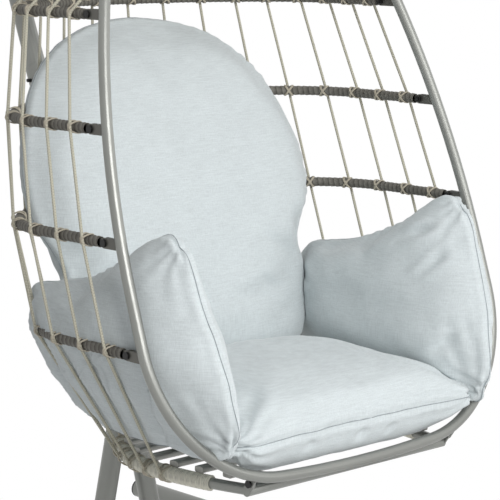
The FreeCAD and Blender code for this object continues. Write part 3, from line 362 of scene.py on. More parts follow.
# ---------------------------------------------------------------- materials
class Look:
    """A material under construction, with short ways to add and join nodes."""

    def __init__(self, name):
        self.material = bpy.data.materials.new(name)
        self.material.use_nodes = True
        self.tree = self.material.node_tree
        self.surface = self.tree.nodes["Principled BSDF"]

    def add(self, kind, **settings):
        made = self.tree.nodes.new(kind)
        for key, value in settings.items():
            setattr(made, key, value)
        return made

    def join(self, source, target):
        self.tree.links.new(source, target)

    def place(self, scale=(1.0, 1.0, 1.0), source="Object"):
        """Texture coordinates stretched by a scale."""
        where = self.add("ShaderNodeTexCoord")
        mapping = self.add("ShaderNodeMapping")
        mapping.inputs["Scale"].default_value = scale
        self.join(where.outputs[source], mapping.inputs["Vector"])
        return mapping.outputs["Vector"]

    def noise(self, vector, scale, detail=2.0):
        texture = self.add("ShaderNodeTexNoise")
        texture.inputs["Scale"].default_value = scale
        texture.inputs["Detail"].default_value = detail
        self.join(vector, texture.inputs["Vector"])
        return texture.outputs["Fac"]

    def math(self, operation, *values):
        made = self.add("ShaderNodeMath", operation=operation)
        for socket, value in zip(made.inputs, values):
            if isinstance(value, (int, float)):
                socket.default_value = value
            else:
                self.join(value, socket)
        return made.outputs["Value"]

    def colour(self, factor, dark, light, low=0.3, high=0.7):
        """A ramp between two colours."""
        ramp = self.add("ShaderNodeValToRGB")
        ramp.color_ramp.elements[0].position = low
        ramp.color_ramp.elements[0].color = (*dark, 1.0)
        ramp.color_ramp.elements[1].position = high
        ramp.color_ramp.elements[1].color = (*light, 1.0)
        self.join(factor, ramp.inputs["Fac"])
        return ramp.outputs["Color"]

    def bump(self, height, strength, distance, normal=None):
        made = self.add("ShaderNodeBump")
        made.inputs["Strength"].default_value = strength
        made.inputs["Distance"].default_value = distance
        self.join(height, made.inputs["Height"])
        if normal is not None:
            self.join(normal, made.inputs["Normal"])
        return made.outputs["Normal"]

    def set(self, **values):
        for key, value in values.items():
            name = key.replace("_", " ")
            self.surface.inputs[name].default_value = value

    def wire(self, name, source):
        self.join(source, self.surface.inputs[name])


def shades(colour, spread):
    """A darker and a lighter form of a colour."""
    dark = tuple(part * (1 - spread) for part in colour)
    light = tuple(min(part * (1 + spread), 1.0) for part in colour)
    return dark, light


def coated_metal(name, colour, roughness, edge=0.003, grain=0.04):
    """Powder-coated tube: even colour, a fine skin and softly rounded edges."""
    look = Look(name)
    cloud = look.noise(look.place(), 9.0, 3.0)
    look.wire("Base Color", look.colour(cloud, *shades(colour, grain)))
    fine = look.noise(look.place(), 1400.0, 1.0)
    rounded = look.add("ShaderNodeBevel", samples=4)
    rounded.inputs["Radius"].default_value = edge
    look.wire("Normal", look.bump(fine, 0.12, 0.0002, rounded.outputs["Normal"]))
    look.wire("Roughness", look.math("MULTIPLY_ADD", look.noise(look.place(), 40.0), 0.12, roughness - 0.06))
    look.set(Metallic=0.55)
    return look.material


def zinc_steel(name):
    look = Look(name)
    cloud = look.noise(look.place(), 160.0, 3.0)
    look.wire("Base Color", look.colour(cloud, (0.42, 0.42, 0.42), (0.62, 0.62, 0.60)))
    look.wire("Normal", look.bump(look.noise(look.place((1, 1, 8)), 500.0), 0.15, 0.0002))
    look.set(Metallic=1.0, Roughness=0.34)
    return look.material


def moulded(name, colour, roughness):
    look = Look(name)
    cloud = look.noise(look.place(), 60.0, 2.0)
    look.wire("Base Color", look.colour(cloud, *shades(colour, 0.12)))
    look.wire("Normal", look.bump(look.noise(look.place(), 900.0), 0.2, 0.0002))
    look.set(Roughness=roughness)
    return look.material


def braid(name, colour, pitch, starts, depth=0.0006):
    """Braided rope: two crossing sets of plaits round the UV map, with painted shade in the grooves between
    them.
    """
    look = Look(name)
    parts = look.add("ShaderNodeSeparateXYZ")
    look.join(look.place(source="UV"), parts.inputs["Vector"])
    around = look.math("MULTIPLY", parts.outputs["X"], 2 * math.pi * starts)
    along = look.math("MULTIPLY", parts.outputs["Y"], 2 * math.pi / pitch)
    left = look.math("SINE", look.math("ADD", along, around))
    right = look.math("SINE", look.math("SUBTRACT", along, around))
    height = look.math("MAXIMUM", left, right)
    level = look.math("MULTIPLY_ADD", height, 0.5, 0.5)
    speckle = look.noise(look.place(), 700.0, 2.0)
    # Painted shade: the plaits' crests are coloured lighter and the grooves darker; the speckle is the
    # rope's own uneven tone.
    mixed = look.math("MULTIPLY_ADD", speckle, 0.5, look.math("MULTIPLY", level, 0.6))
    look.wire("Base Color", look.colour(mixed, *shades(colour, 0.22), low=0.2, high=0.85))
    look.wire("Normal", look.bump(level, 0.8, depth))
    look.set(Roughness=0.72)
    return look.material


def wound_tape(name, dark, light):
    """Flat tape wound round a tube, each turn lapping the last; each turn is painted dark at its low edge,
    under the lap of the turn before, as painted shade.
    """
    look = Look(name)
    parts = look.add("ShaderNodeSeparateXYZ")
    look.join(look.place(source="UV"), parts.inputs["Vector"])
    turns = look.math("DIVIDE", parts.outputs["Y"], TAPE_PITCH)
    place = look.math("FRACT", look.math("ADD", turns, parts.outputs["X"]))
    cloud = look.noise(look.place(), 55.0, 3.0)
    # Painted shade: dark at the low edge of each turn, where it runs under the turn before; the cloud adds
    # the tape's own uneven tone.
    tone = look.math("MULTIPLY_ADD", place, 0.55, look.math("MULTIPLY", cloud, 0.6))
    look.wire("Base Color", look.colour(tone, dark, light, low=0.25, high=0.85))
    fibre = look.noise(look.place(), 1100.0, 1.0)
    ribs = look.math("SINE", look.math("MULTIPLY", place, 6 * 2 * math.pi))
    relief = look.math("MULTIPLY_ADD", ribs, 0.4, fibre)
    look.wire("Normal", look.bump(relief, 0.6, 0.0004))
    look.set(Roughness=0.62)
    return look.material


def linen(name, colour):
    """A melange weave: warp and weft threads of slightly different greys."""
    look = Look(name)
    warp = look.noise(look.place((1.0, 1.0, 0.06)), 620.0, 2.0)
    weft = look.noise(look.place((0.06, 0.06, 1.0)), 620.0, 2.0)
    cloud = look.noise(look.place(), 12.0, 3.0)
    threads = look.math("ADD", look.math("MULTIPLY", warp, 0.5), look.math("MULTIPLY", weft, 0.5))
    tone = look.math("ADD", look.math("MULTIPLY", threads, 0.85), look.math("MULTIPLY", cloud, 0.15))
    look.wire("Base Color", look.colour(tone, *shades(colour, 0.13), low=0.32, high=0.68))
    look.wire("Normal", look.bump(threads, 0.35, 0.0008))
    look.set(Roughness=0.92, Sheen_Weight=0.25, Sheen_Roughness=0.5, Specular_IOR_Level=0.15)
    return look.material


FRAME_GREY = (0.25, 0.255, 0.238)
FRAME_PAINT = coated_metal("frame_paint", FRAME_GREY, 0.40)
BASKET_PAINT = coated_metal("basket_tube", FRAME_GREY, 0.36)
RAIL_END_PAINT = coated_metal("rail_end_paint", (0.115, 0.112, 0.100), 0.42, edge=0.001)
BLACK_FIXINGS = coated_metal("black_fixings", (0.02, 0.02, 0.02), 0.42, edge=0.0006)
SLAT_PAINT = coated_metal("slat_paint", (0.33, 0.33, 0.31), 0.45, edge=0.001)
STEEL = zinc_steel("bright_steel")
# Each braid is painted darker in the grooves between its plaits, as painted shade.
BEIGE_ROPE = braid("beige_rope", (0.45, 0.43, 0.345), 0.0055, 2)
LASHING = braid("lashing_cord", (0.44, 0.40, 0.32), 0.0030, 2, depth=0.0003)
RING_CORD_LOOK = braid("ring_winding", (0.66, 0.64, 0.55), 0.004, 3)
COURSE_LOOK = braid("canopy_weave", (0.25, 0.24, 0.215), 0.007, 2)
# The dark colour is painted shade at the lap of each turn, and the light colour is the tape's own.
RAIL_TAPE = wound_tape("rail_tape", (0.060, 0.055, 0.045), (0.185, 0.175, 0.152))
END_CAP = moulded("end_cap_plastic", (0.05, 0.05, 0.05), 0.55)
FOOT_RUBBER = moulded("foot_rubber", (0.03, 0.03, 0.03), 0.8)
LINEN = linen("linen", (0.60, 0.645, 0.655))
SEAM_THREAD = moulded("seam_thread", (0.30, 0.33, 0.35), 0.8)

SLOT_LOOKS = {
    "frame_paint": FRAME_PAINT, "black_fixings": BLACK_FIXINGS, "slat_paint": SLAT_PAINT,
    "basket_tube": BASKET_PAINT, "rail_tape": RAIL_END_PAINT, "bright_steel": STEEL,
    "beige_rope": BEIGE_ROPE, "ring_winding": RING_CORD_LOOK, "canopy_weave": COURSE_LOOK,
    "end_cap_plastic": END_CAP, "foot_rubber": FOOT_RUBBER, "linen": LINEN,
}
NODE_LOOKS = {"rail_yokes": RAIL_END_PAINT}


def finish_frame():
    """Every CAD node gets its own look, or else the look of its slot."""
    for entry in frame["record"]["subparts"]:
        name = entry["node"]
        materials = frame["nodes"][name].data.materials
        materials.clear()
        materials.append(NODE_LOOKS.get(name, SLOT_LOOKS[entry["material_slot"]]))


# ---------------------------------------------------------------- ropes and windings
def make_strands():
    for side, name in ((1, "strands_left"), (-1, "strands_right")):
        runs = []
        for share in STRAND_SPREAD:
            line = strand_line(share)
            across = at_share(RAILS[2], share)[1]
            if side > 0:
                line = mirrored(line)
                across = mirrored([across])[0]
            runs.append((line, across))
        piece = tube_piece("rope_" + name, runs, STRAND_RADIUS, 10)
        belongs(piece, BEIGE_ROPE)
        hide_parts(name)


def tape_profile(distance, turn):
    """Each turn rises over the one before it."""
    place = (distance / TAPE_PITCH + turn) % 1.0
    return RAIL_RADIUS + TAPE_GAP + TAPE_RISE * place


def make_rail_tapes():
    for row, rail in enumerate(RAILS):
        line = resampled(trimmed(whole(rail), TAPE_START), TAPE_STEP)
        piece = tube_piece("tape_%d" % (row + 1), [(line, UP)], RAIL_RADIUS, 16, profile=tape_profile)
        belongs(piece, RAIL_TAPE)


def lash_loop(centre, along, inner, outer, slant, shift):
    """One turn of cord round a rail and the strand that crosses it."""
    outward = outward_of(along)
    points = []
    for step in range(LASH_STEPS):
        angle = 2 * math.pi * step / LASH_STEPS
        folded = min(angle, 2 * math.pi - angle)
        reach = inner + (outer - inner) * math.exp(-(folded / LASH_PEAK) ** 2)
        around = outward * math.cos(angle) + UP * math.sin(angle)
        slide = slant * LASH_REACH * math.sin(angle) + shift
        points.append(centre + around * reach + along * slide)
    return points


def make_lashings():
    tubes = [RIM_RADIUS] + [RAIL_RADIUS + TAPE_RISE] * len(RAILS) + [RING_LASHED]
    runs = []
    for share in STRAND_SPREAD:
        for tube, (knot, centre, along) in zip(tubes, crossings(share)):
            outer = (knot - centre).length + STRAND_RADIUS + CORD_RADIUS * 0.6
            for slant in (-1, 1):
                for shift in LASH_TURNS:
                    loop = lash_loop(centre, along, tube + CORD_RADIUS * 0.8, outer, slant, shift)
                    runs.append((loop, along))
                    runs.append((mirrored(loop), mirrored([along])[0]))
    piece = tube_piece("lashings", runs, CORD_RADIUS, 6, closed=True)
    belongs(piece, LASHING)


def ring_profile(distance, turn):
    """Round turns of cord that lie side by side."""
    place = 2 * ((distance / RING_CORD + turn) % 1.0) - 1
    return RING_CORE + RING_CORD / 2 * math.sqrt(1 - 0.92 * place * place)


def make_ring_winding():
    line = resampled(trimmed(whole(RING), RING_WIND_START), RING_CORD / 8)
    piece = tube_piece("ring_cord", [(line, UP)], RING_CORE, 20, profile=ring_profile)
    belongs(piece, RING_CORD_LOOK)
    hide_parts("seat_ring_wrap")


# ---------------------------------------------------------------- canopy
CROWN_Y = HOOP_FLAT[-1].y * math.sin(HOOP_LEAN) - HOOP_SETBACK
CROWN_RISE = HOOP_FLAT[-1].y * math.cos(HOOP_LEAN) - CANOPY_EDGE


def canopy_size(rise):
    """The canopy's width and depth at a share of its rise, as shares of those at its edge."""
    return max(1 - rise ** CANOPY_ROUNDNESS, 0.0) ** (1 / CANOPY_ROUNDNESS)


def canopy_level(rise, inset=COURSE_RADIUS):
    """Half of the canopy's outline at a share of its rise."""
    size = canopy_size(rise)
    side_x = hoop_half_width(CANOPY_EDGE) * size - inset
    back_y = CROWN_Y + (CANOPY_BACK - CROWN_Y) * size - inset
    front_y = CROWN_Y + (hoop_y(CANOPY_EDGE) - CANOPY_FRONT - CROWN_Y) * size
    bend_y = CROWN_Y + (hoop_y(CANOPY_EDGE) + RAIL_SIDE_RUN[0] - CROWN_Y) * size
    return half_loop(side_x, front_y, bend_y - front_y, back_y, CANOPY_EDGE + rise * CROWN_RISE)


def behind_hoop(point):
    return point.y - DATUM_Y > hoop_y(point.z - DATUM_Z) + CANOPY_BEHIND


def course_rises():
    """Shares of the rise that lie one course apart along the curved skin."""
    rises = [FIRST_COURSE]
    reach = hoop_half_width(CANOPY_EDGE)
    step = 0.004
    while rises[-1] < LAST_COURSE:
        here = rises[-1]
        slope = math.hypot(CROWN_RISE, (canopy_size(here + step) - canopy_size(here)) * reach / step)
        rises.append(here + COURSE_PITCH / slope)
    return rises[:-1]


def make_canopy():
    levels = [whole(canopy_level(rise)) for rise in course_rises()]
    make_courses(levels)
    make_stakes(levels)


def make_courses(levels):
    """The level cords, each swung in and out round the stakes."""
    courses = []
    for number, line in enumerate(levels):
        total = lengths(line)
        swung = []
        for point, along, place in zip(line, directions(line, False), total):
            if not behind_hoop(point):
                continue
            beat = math.cos(math.pi * (2 * STAKE_COUNT * place / total[-1] + number))
            swung.append(point + outward_of(along) * (WEAVE_SWING * beat))
        if len(swung) > 8:
            courses.append((swung, UP))
    cords = tube_piece("canopy_courses", courses, COURSE_RADIUS, 8, flat=0.7)
    belongs(cords, COURSE_LOOK)
    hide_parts("canopy_skin")


def make_stakes(levels):
    """The upright ropes that the courses pass before and behind."""
    stakes = []
    for stake in range(2 * STAKE_COUNT + 1):
        share = stake / (2 * STAKE_COUNT)
        points = []
        for number, line in enumerate(levels[:-STAKE_STOP]):
            point, along = at_share(line, share)
            beat = math.cos(math.pi * (stake + number))
            points.append(point - outward_of(along) * (WEAVE_SWING * 0.6 * beat))
        points = [point for point in points if behind_hoop(point)]
        if len(points) > 3:
            at_side = abs(points[0].x) > 0.2
            stakes.append((points, Vector((0, 1, 0)) if at_side else Vector((1, 0, 0))))
    ropes = tube_piece("canopy_stakes", stakes, STAKE_RADIUS, 6)
    belongs(ropes, BEIGE_ROPE)


# ---------------------------------------------------------------- spring
def make_spring():
    points = []
    count = SPRING_TURNS * SPRING_STEPS
    for step in range(count + 1):
        share = step / count
        angle = 2 * math.pi * SPRING_TURNS * share
        height = SPRING_TOP - SPRING_WIRE + (SPRING_LOW - SPRING_TOP + 2 * SPRING_WIRE) * share
        centre = Vector((0, HANG_Y, height))
        points.append(centre + Vector((math.cos(angle), math.sin(angle), 0)) * SPRING_RADIUS)
    piece = tube_piece("spring_coil", [(points, UP)], SPRING_WIRE, 10)
    belongs(piece, STEEL, body=None)
    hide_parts("spring")
    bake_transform(piece)


# ---------------------------------------------------------------- cushions
SIM_FRAMES = 20
CLOTH_PRESSURE = 4.0
HELD_REACH = 0.03           # cloth within this of a held spot doesn't fill
PAD_RINGS = 28              # from the middle of a cushion's face to its seam
PAD_STEPS = 132             # round the seam
CORNER_STEPS = 24           # between two corners of an outline
CROWN_FLAT = 2.8            # higher is flatter in the middle
CROWN_EDGE = 0.60           # higher is sharper at the seam

SLAT_TOP = 0.4318
CUSHION_GAP = 0.0015        # between two cushions that press on each other
STRAND_GAP = 0.0065         # from a strand's centre line to the cloth
STRAND_REACH = 0.08
GROOVE_WIDTH = 0.010
GROOVE_SHARE = 0.40         # of the hollow, that only shows close to a strand
BASKET_MIDDLE_Y = -0.15
BASKET_WAIST_Z = 0.72       # below this the strands run in under the seat

SEAM_THREAD_RADIUS = 0.0009
SEAM_RIDGE = 0.003
SEAM_RIDGE_PLACE = 0.012    # from the seam
SEAM_RIDGE_WIDTH = 0.010
SEAM_DIP = 0.006            # half the width of the groove that the thread lies in
PUCKER_PITCH = 0.034
PUCKER_FADE = 0.030
PLEAT_SHARE = 0.42          # of the depth of a gather
PLEAT_REACH = 2.1           # times the reach of a gather
PLEAT_START = 0.008
RUMPLE = 0.0050


def baked(piece):
    """The piece's mesh with its modifiers applied."""
    graph = bpy.context.evaluated_depsgraph_get()
    return bpy.data.meshes.new_from_object(piece.evaluated_get(graph))


def closed_curve(corners, count):
    """A smooth closed line through flat corners, given as (a, b) pairs, with equal steps."""
    corners = [Vector((a, b, 0.0)) for a, b in corners]
    size = len(corners)
    line = []
    for index in range(size):
        before, start, end, after = (corners[(index + shift) % size] for shift in (-1, 0, 1, 2))
        for step in range(CORNER_STEPS):
            t = step / CORNER_STEPS
            bend = (2 * start + (end - before) * t + (2 * before - 5 * start + 4 * end - after) * t * t
                    + (3 * start - before - 3 * end + after) * t * t * t)
            line.append(bend / 2)
    line.append(line[0])
    return resampled(line, lengths(line)[-1] / count)[:count]


def both_sides(half):
    """A symmetrical outline from its right half, which starts and ends on the middle line."""
    return half + tuple((-across, along) for across, along in reversed(half[1:-1]))


def fullness(share):
    """Thickness at a share of the way from the middle to the seam."""
    return (1 - share ** CROWN_FLAT) ** CROWN_EDGE


def pillow(name, corners, place):
    """Two faces of cloth that meet in one seam.

    place(a, b, rise) gives the point over the flat spot (a, b); rise runs from -1 to 1.
    The seam is the first ring of vertices.
    """
    edge = closed_curve(corners, PAD_STEPS)
    middle = sum(edge, Vector()) / PAD_STEPS
    vertices = [place(point.x, point.y, 0.0) for point in edge]
    faces = []
    for side in (1, -1):
        outer = list(range(PAD_STEPS))
        for ring in range(1, PAD_RINGS):
            share = math.cos(0.5 * math.pi * ring / PAD_RINGS) ** 0.8
            inner = []
            for point in edge:
                spot = middle.lerp(point, share)
                inner.append(len(vertices))
                vertices.append(place(spot.x, spot.y, side * fullness(share)))
            for step in range(PAD_STEPS):
                turn = (step + 1) % PAD_STEPS
                quad = (outer[step], outer[turn], inner[turn], inner[step])
                faces.append(quad if side > 0 else quad[::-1])
            outer = inner
        hub = len(vertices)
        vertices.append(place(middle.x, middle.y, side))
        for step in range(PAD_STEPS):
            tip = (outer[step], outer[(step + 1) % PAD_STEPS], hub)
            faces.append(tip if side > 0 else tip[::-1])
    mesh = bpy.data.meshes.new(name)
    mesh.from_pydata(vertices, [], faces)
    form = bmesh.new()
    form.from_mesh(mesh)
    bmesh.ops.recalc_face_normals(form, faces=form.faces)
    form.to_mesh(mesh)
    form.free()
    return add_to_scene(name, mesh)


def soften(piece, rounds):
    """Smooths the mesh without a change to its faces."""
    form = bmesh.new()
    form.from_mesh(piece.data)
    for _ in range(rounds):
        bmesh.ops.smooth_vert(form, verts=form.verts, factor=0.5,
                              use_axis_x=True, use_axis_y=True, use_axis_z=True)
    form.to_mesh(piece.data)
    form.free()


def inflate(piece, most, held):
    """Cloth filled with air, held at some spots, with no point moved further than most."""
    start = [vertex.co.copy() for vertex in piece.data.vertices]
    group = piece.vertex_groups.new(name="held")
    for index, place in enumerate(start):
        if min((place - spot).length for spot in held) < HELD_REACH:
            group.add([index], 1.0, "REPLACE")
    cloth = piece.modifiers.new("fill", "CLOTH")
    settings = cloth.settings
    settings.quality = 4
    settings.mass = 0.3
    settings.tension_stiffness = 14.0
    settings.compression_stiffness = 8.0
    settings.shear_stiffness = 5.0
    settings.bending_stiffness = 0.3
    settings.use_pressure = True
    settings.uniform_pressure_force = CLOTH_PRESSURE
    settings.effector_weights.gravity = 0.0
    settings.vertex_group_mass = group.name
    cloth.point_cache.frame_start = 1
    cloth.point_cache.frame_end = SIM_FRAMES
    for number in range(1, SIM_FRAMES + 1):
        bpy.context.scene.frame_set(number)
    for vertex, before, after in zip(piece.data.vertices, start, baked(piece).vertices):
        move = after.co - before
        if move.length > most:
            move = move.normalized() * most
        vertex.co = before + move
    piece.modifiers.clear()
    piece.vertex_groups.clear()
    bpy.context.scene.frame_set(1)


def refined(piece):
    """Smooths the cloth and splits each of its faces in four."""
    finer = piece.modifiers.new("finer", "SUBSURF")
    finer.levels = 1
    piece.data = baked(piece)
    piece.modifiers.clear()


def fill(piece, most, held):
    inflate(piece, most, held)
    soften(piece, 2)
    refined(piece)


def moved(piece, change):
    """Moves every vertex by change(place, normal), worked out before any is moved."""
    moves = [change(vertex.co, vertex.normal) for vertex in piece.data.vertices]
    for vertex, move in zip(piece.data.vertices, moves):
        vertex.co += move


def seam_line(piece):
    """The seam, which is the mesh's first ring of vertices."""
    return [piece.data.vertices[index].co.copy() for index in range(PAD_STEPS)]


def tree_of(points):
    """Finds the nearest of the points to a place."""
    tree = kdtree.KDTree(len(points))
    for index, point in enumerate(points):
        tree.insert(point, index)
    tree.balance()
    return tree


def sew(piece, pucker):
    """Raises the skin on both sides of the seam, with small puckers beside it."""
    seam = seam_line(piece)
    seam = resampled(seam + seam[:1], 0.003)
    place = lengths(seam)
    tree = tree_of(seam)

    def change(point, normal):
        _, index, away = tree.find(point)
        run = place[index]
        wave = math.sin(run * 2 * math.pi / PUCKER_PITCH + 5 * noise.noise(Vector((run * 9, 0, 3))))
        wave *= max(0.0, 0.35 + noise.noise(Vector((run * 7, 5, 1))))
        ridge = SEAM_RIDGE * math.exp(-((away - SEAM_RIDGE_PLACE) / SEAM_RIDGE_WIDTH) ** 2)
        crimp = pucker * wave * math.exp(-away / PUCKER_FADE)
        return normal * ((crimp + ridge) * (1 - math.exp(-(away / SEAM_DIP) ** 2)))

    moved(piece, change)


def gather(piece, spot, inward, depth, reach, pleats):
    """Pulls the skin in at one spot, with pleats that run out from it."""
    side = inward.orthogonal().normalized()
    other = inward.cross(side)

    def change(point, normal):
        offset = point - spot
        away = offset.length
        angle = math.atan2(offset.dot(other), offset.dot(side))
        fold = math.cos(pleats * angle + 3 * noise.noise(point * 14))
        pull = depth * math.exp(-(away / reach) ** 2)
        fade = math.exp(-away / (PLEAT_REACH * reach)) * (1 - math.exp(-(away / PLEAT_START) ** 2))
        return inward * pull + normal * (PLEAT_SHARE * depth * fold * fade)

    moved(piece, change)


def rumple(piece, scale, seed):
    """Broad, soft unevenness of filled cloth."""
    shift = Vector((seed, seed * 2.3, seed * 0.7))

    def change(point, normal):
        broad = noise.noise(point * scale + shift)
        narrow = noise.noise(point * scale * 2.6 + shift)
        return normal * (RUMPLE * (broad + 0.35 * narrow))

    moved(piece, change)


def crease(piece, start, end, depth, width):
    """One soft fold in the skin between two points."""
    run = end - start

    def change(point, normal):
        share = min(max((point - start).dot(run) / run.length_squared, 0.0), 1.0)
        away = (point - start - run * share).length
        valley = math.exp(-(away / width) ** 2)
        ridge = 0.5 * math.exp(-((away - 1.8 * width) / width) ** 2)
        return normal * (depth * math.sin(math.pi * share) * (ridge - valley))

    moved(piece, change)


def strand_points():
    """Points along the strands of both sides."""
    points = []
    for share in STRAND_SPREAD:
        line = resampled(strand_line(share), 0.005)
        points += line + mirrored(line)
    return points


def press_on_strands(piece):
    """Hollows where the skin lies against the ropes of the basket."""
    tree = tree_of(strand_points())

    def change(place, normal):
        point, _, away = tree.find(place)
        rise = max(BASKET_WAIST_Z - point.z, 0.0)
        inward = Vector((-point.x, BASKET_MIDDLE_Y - point.y, rise)).normalized()
        depth = (place - point).dot(inward)
        if away > STRAND_REACH or depth > STRAND_GAP:
            return Vector()
        sideways = math.sqrt(max(away * away - depth * depth, 0.0))
        groove = 1 - GROOVE_SHARE + GROOVE_SHARE * math.exp(-(sideways / GROOVE_WIDTH) ** 2)
        return inward * ((STRAND_GAP - depth) * groove)

    moved(piece, change)


def inside(tree, point):
    """True where a line straight up crosses the closed surface an odd number of times."""
    crossed = 0
    spot = tree.ray_cast(point, UP)[0]
    while spot is not None:
        crossed += 1
        spot = tree.ray_cast(spot + UP * 0.00001, UP)[0]
    return crossed % 2 == 1


def keep_clear(piece, neighbour):
    """Presses the piece flat where it would run into its neighbour."""
    tree = BVHTree.FromPolygons([vertex.co for vertex in neighbour.data.vertices],
                                [face.vertices for face in neighbour.data.polygons])

    def change(point, normal):
        if not inside(tree, point):
            return Vector()
        spot, out, _, _ = tree.find_nearest(point)
        return spot + out * CUSHION_GAP - point

    moved(piece, change)


def finish_cushion(piece, node):
    """Smooth shading, and the thread that shows in the seam."""
    piece.data.update()
    piece.data.polygons.foreach_set("use_smooth", [True] * len(piece.data.polygons))
    belongs(piece, LINEN)
    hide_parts(node)
    seam = seam_line(piece)
    middle = sum(seam, Vector()) / len(seam)
    line = [point + (point - middle).normalized() * (SEAM_THREAD_RADIUS * 0.4) for point in seam]
    aslant = Vector((0.31, 0.52, 0.80)).normalized()
    thread = tube_piece(piece.name + "_seam", [(line, aslant)], SEAM_THREAD_RADIUS, 5, closed=True)
    belongs(thread, SEAM_THREAD)


SEAT_MIDDLE = 0.503
SEAT_RISE = 0.086
SEAT_SINK = 0.080
SEAT_TILT = 0.05            # how much fuller the seat grows towards the back
SEAT_TILT_Y = -0.20
SEAT_TAPER = 0.08           # how much narrower its top is
SEAT_OUTLINE = both_sides(((0.0, -0.476), (0.20, -0.478), (0.305, -0.486), (0.338, -0.462), (0.336, -0.34),
                           (0.330, -0.17), (0.30, -0.05), (0.20, 0.012), (0.0, 0.024)))
SEAT_GATHERS = (Vector((-0.328, -0.476, SEAT_MIDDLE)), Vector((0.328, -0.476, SEAT_MIDDLE)))
# Each fold of the front face: its upper and lower end, its depth and its width.
SEAT_FOLDS = (((-0.11, -0.42, 0.57), (-0.14, -0.47, 0.46), 0.009, 0.010),
              ((0.03, -0.42, 0.57), (0.00, -0.47, 0.45), 0.012, 0.011),
              ((0.12, -0.42, 0.57), (0.08, -0.47, 0.45), 0.008, 0.009))


def seat_place(x, y, rise):
    """A place on the seat cushion, which is flat where it rests on the slats."""
    if rise < 0:
        return Vector((x, y, max(SEAT_MIDDLE + SEAT_SINK * rise, SLAT_TOP)))
    height = SEAT_RISE + SEAT_TILT * (y - SEAT_TILT_Y)
    return Vector((x * (1 - SEAT_TAPER * rise), y, SEAT_MIDDLE + height * rise))


def shaped_seat():
    piece = pillow("cushion_seat", SEAT_OUTLINE, seat_place)
    fill(piece, 0.018, SEAT_GATHERS)
    rumple(piece, 9.0, 1.0)
    sew(piece, 0.0020)
    for spot in SEAT_GATHERS:
        inward = (Vector((0, -0.25, SEAT_MIDDLE)) - spot).normalized()
        gather(piece, spot, inward, 0.016, 0.024, 9)
    for start, end, depth, width in SEAT_FOLDS:
        crease(piece, Vector(start), Vector(end), depth, width)
    return piece


BACK_LEAN = math.tan(math.radians(18.0))
BACK_Y = 0.118              # of its seam, at the third rail's height
BACK_BEND = 0.24            # how far its sides come forward
BACK_FRONT_DEPTH = 0.090
BACK_REAR_DEPTH = 0.070
BACK_OUTLINE = both_sides(((0.0, 0.520), (0.19, 0.528), (0.276, 0.568), (0.304, 0.640), (0.326, 0.720),
                           (0.356, 0.785), (0.394, 0.862), (0.404, 0.960), (0.373, 1.070), (0.300, 1.175),
                           (0.175, 1.252), (0.0, 1.277)))
BACK_HELD = (Vector((-0.33, 0.02, 0.70)), Vector((0.33, 0.02, 0.70)))
BACK_FOLDS = (((-0.32, 0.08, 1.10), (-0.20, 0.05, 1.12), 0.006, 0.010),
              ((-0.26, 0.09, 1.17), (-0.14, 0.06, 1.15), 0.005, 0.009),
              ((0.26, 0.01, 0.64), (0.12, -0.03, 0.72), 0.006, 0.012))


def back_place(x, z, rise):
    middle = BACK_Y + (z - DATUM_Z) * BACK_LEAN - BACK_BEND * x * x
    depth = BACK_FRONT_DEPTH if rise > 0 else BACK_REAR_DEPTH
    return Vector((x, middle - depth * rise, z))


def shaped_back():
    piece = pillow("cushion_back", BACK_OUTLINE, back_place)
    fill(piece, 0.026, BACK_HELD)
    rumple(piece, 7.0, 5.0)
    sew(piece, 0.0032)
    for start, end, depth, width in BACK_FOLDS:
        crease(piece, Vector(start), Vector(end), depth, width)
    press_on_strands(piece)
    return piece


# The arm cushions: outlines and places as (y, z), and tables of height against a place or a depth in x.
ARM_OUTLINE = ((-0.372, 0.894), (-0.325, 0.893), (-0.250, 0.864), (-0.12, 0.810), (0.0, 0.780),
               (0.092, 0.752), (0.112, 0.66), (0.105, 0.560), (0.04, 0.484), (-0.18, 0.456),
               (-0.34, 0.452), (-0.45, 0.472), (-0.494, 0.512), (-0.486, 0.610), (-0.460, 0.700),
               (-0.424, 0.800), (-0.392, 0.872))
ARM_TOP = (-0.384, 0.886)
ARM_FOOT = (-0.490, 0.508)
ARM_THIN_FROM = -0.06       # behind this y the back cushion lies beside it
ARM_THIN_RUN = 0.14
ARM_THIN_SHARE = 0.35
ARM_MIDDLES = ((0.45, 0.352), (0.52, 0.345), (0.60, 0.356), (0.69, 0.370), (0.77, 0.380), (0.90, 0.385))
ARM_INNER_DEPTHS = ((0.45, 0.010), (0.52, 0.034), (0.60, 0.072), (0.69, 0.076), (0.80, 0.074), (0.90, 0.064))
ARM_OUTER_DEPTHS = ((0.45, 0.014), (0.52, 0.036), (0.60, 0.074), (0.69, 0.090), (0.80, 0.074), (0.90, 0.050))


# Each fold: its ends as (y, z, rise), its depth and its width.
ARM_FOLDS = (((-0.37, 0.85, -0.8), (-0.27, 0.80, -0.9), 0.009, 0.010),
             ((-0.44, 0.62, -0.7), (-0.36, 0.57, -0.9), 0.006, 0.012),
             ((-0.40, 0.80, -0.7), (-0.32, 0.72, -0.9), 0.008, 0.010),
             ((0.05, 0.70, -0.9), (-0.08, 0.66, -0.9), 0.008, 0.012))


def looked_up(table, key):
    """A value between the entries of a table, with a soft change from each to the next."""
    for (low, first), (high, second) in zip(table, table[1:]):
        if key <= high:
            share = min(max((key - low) / (high - low), 0.0), 1.0)
            share = share * share * (3 - 2 * share)
            return first + (second - first) * share
    return table[-1][1]


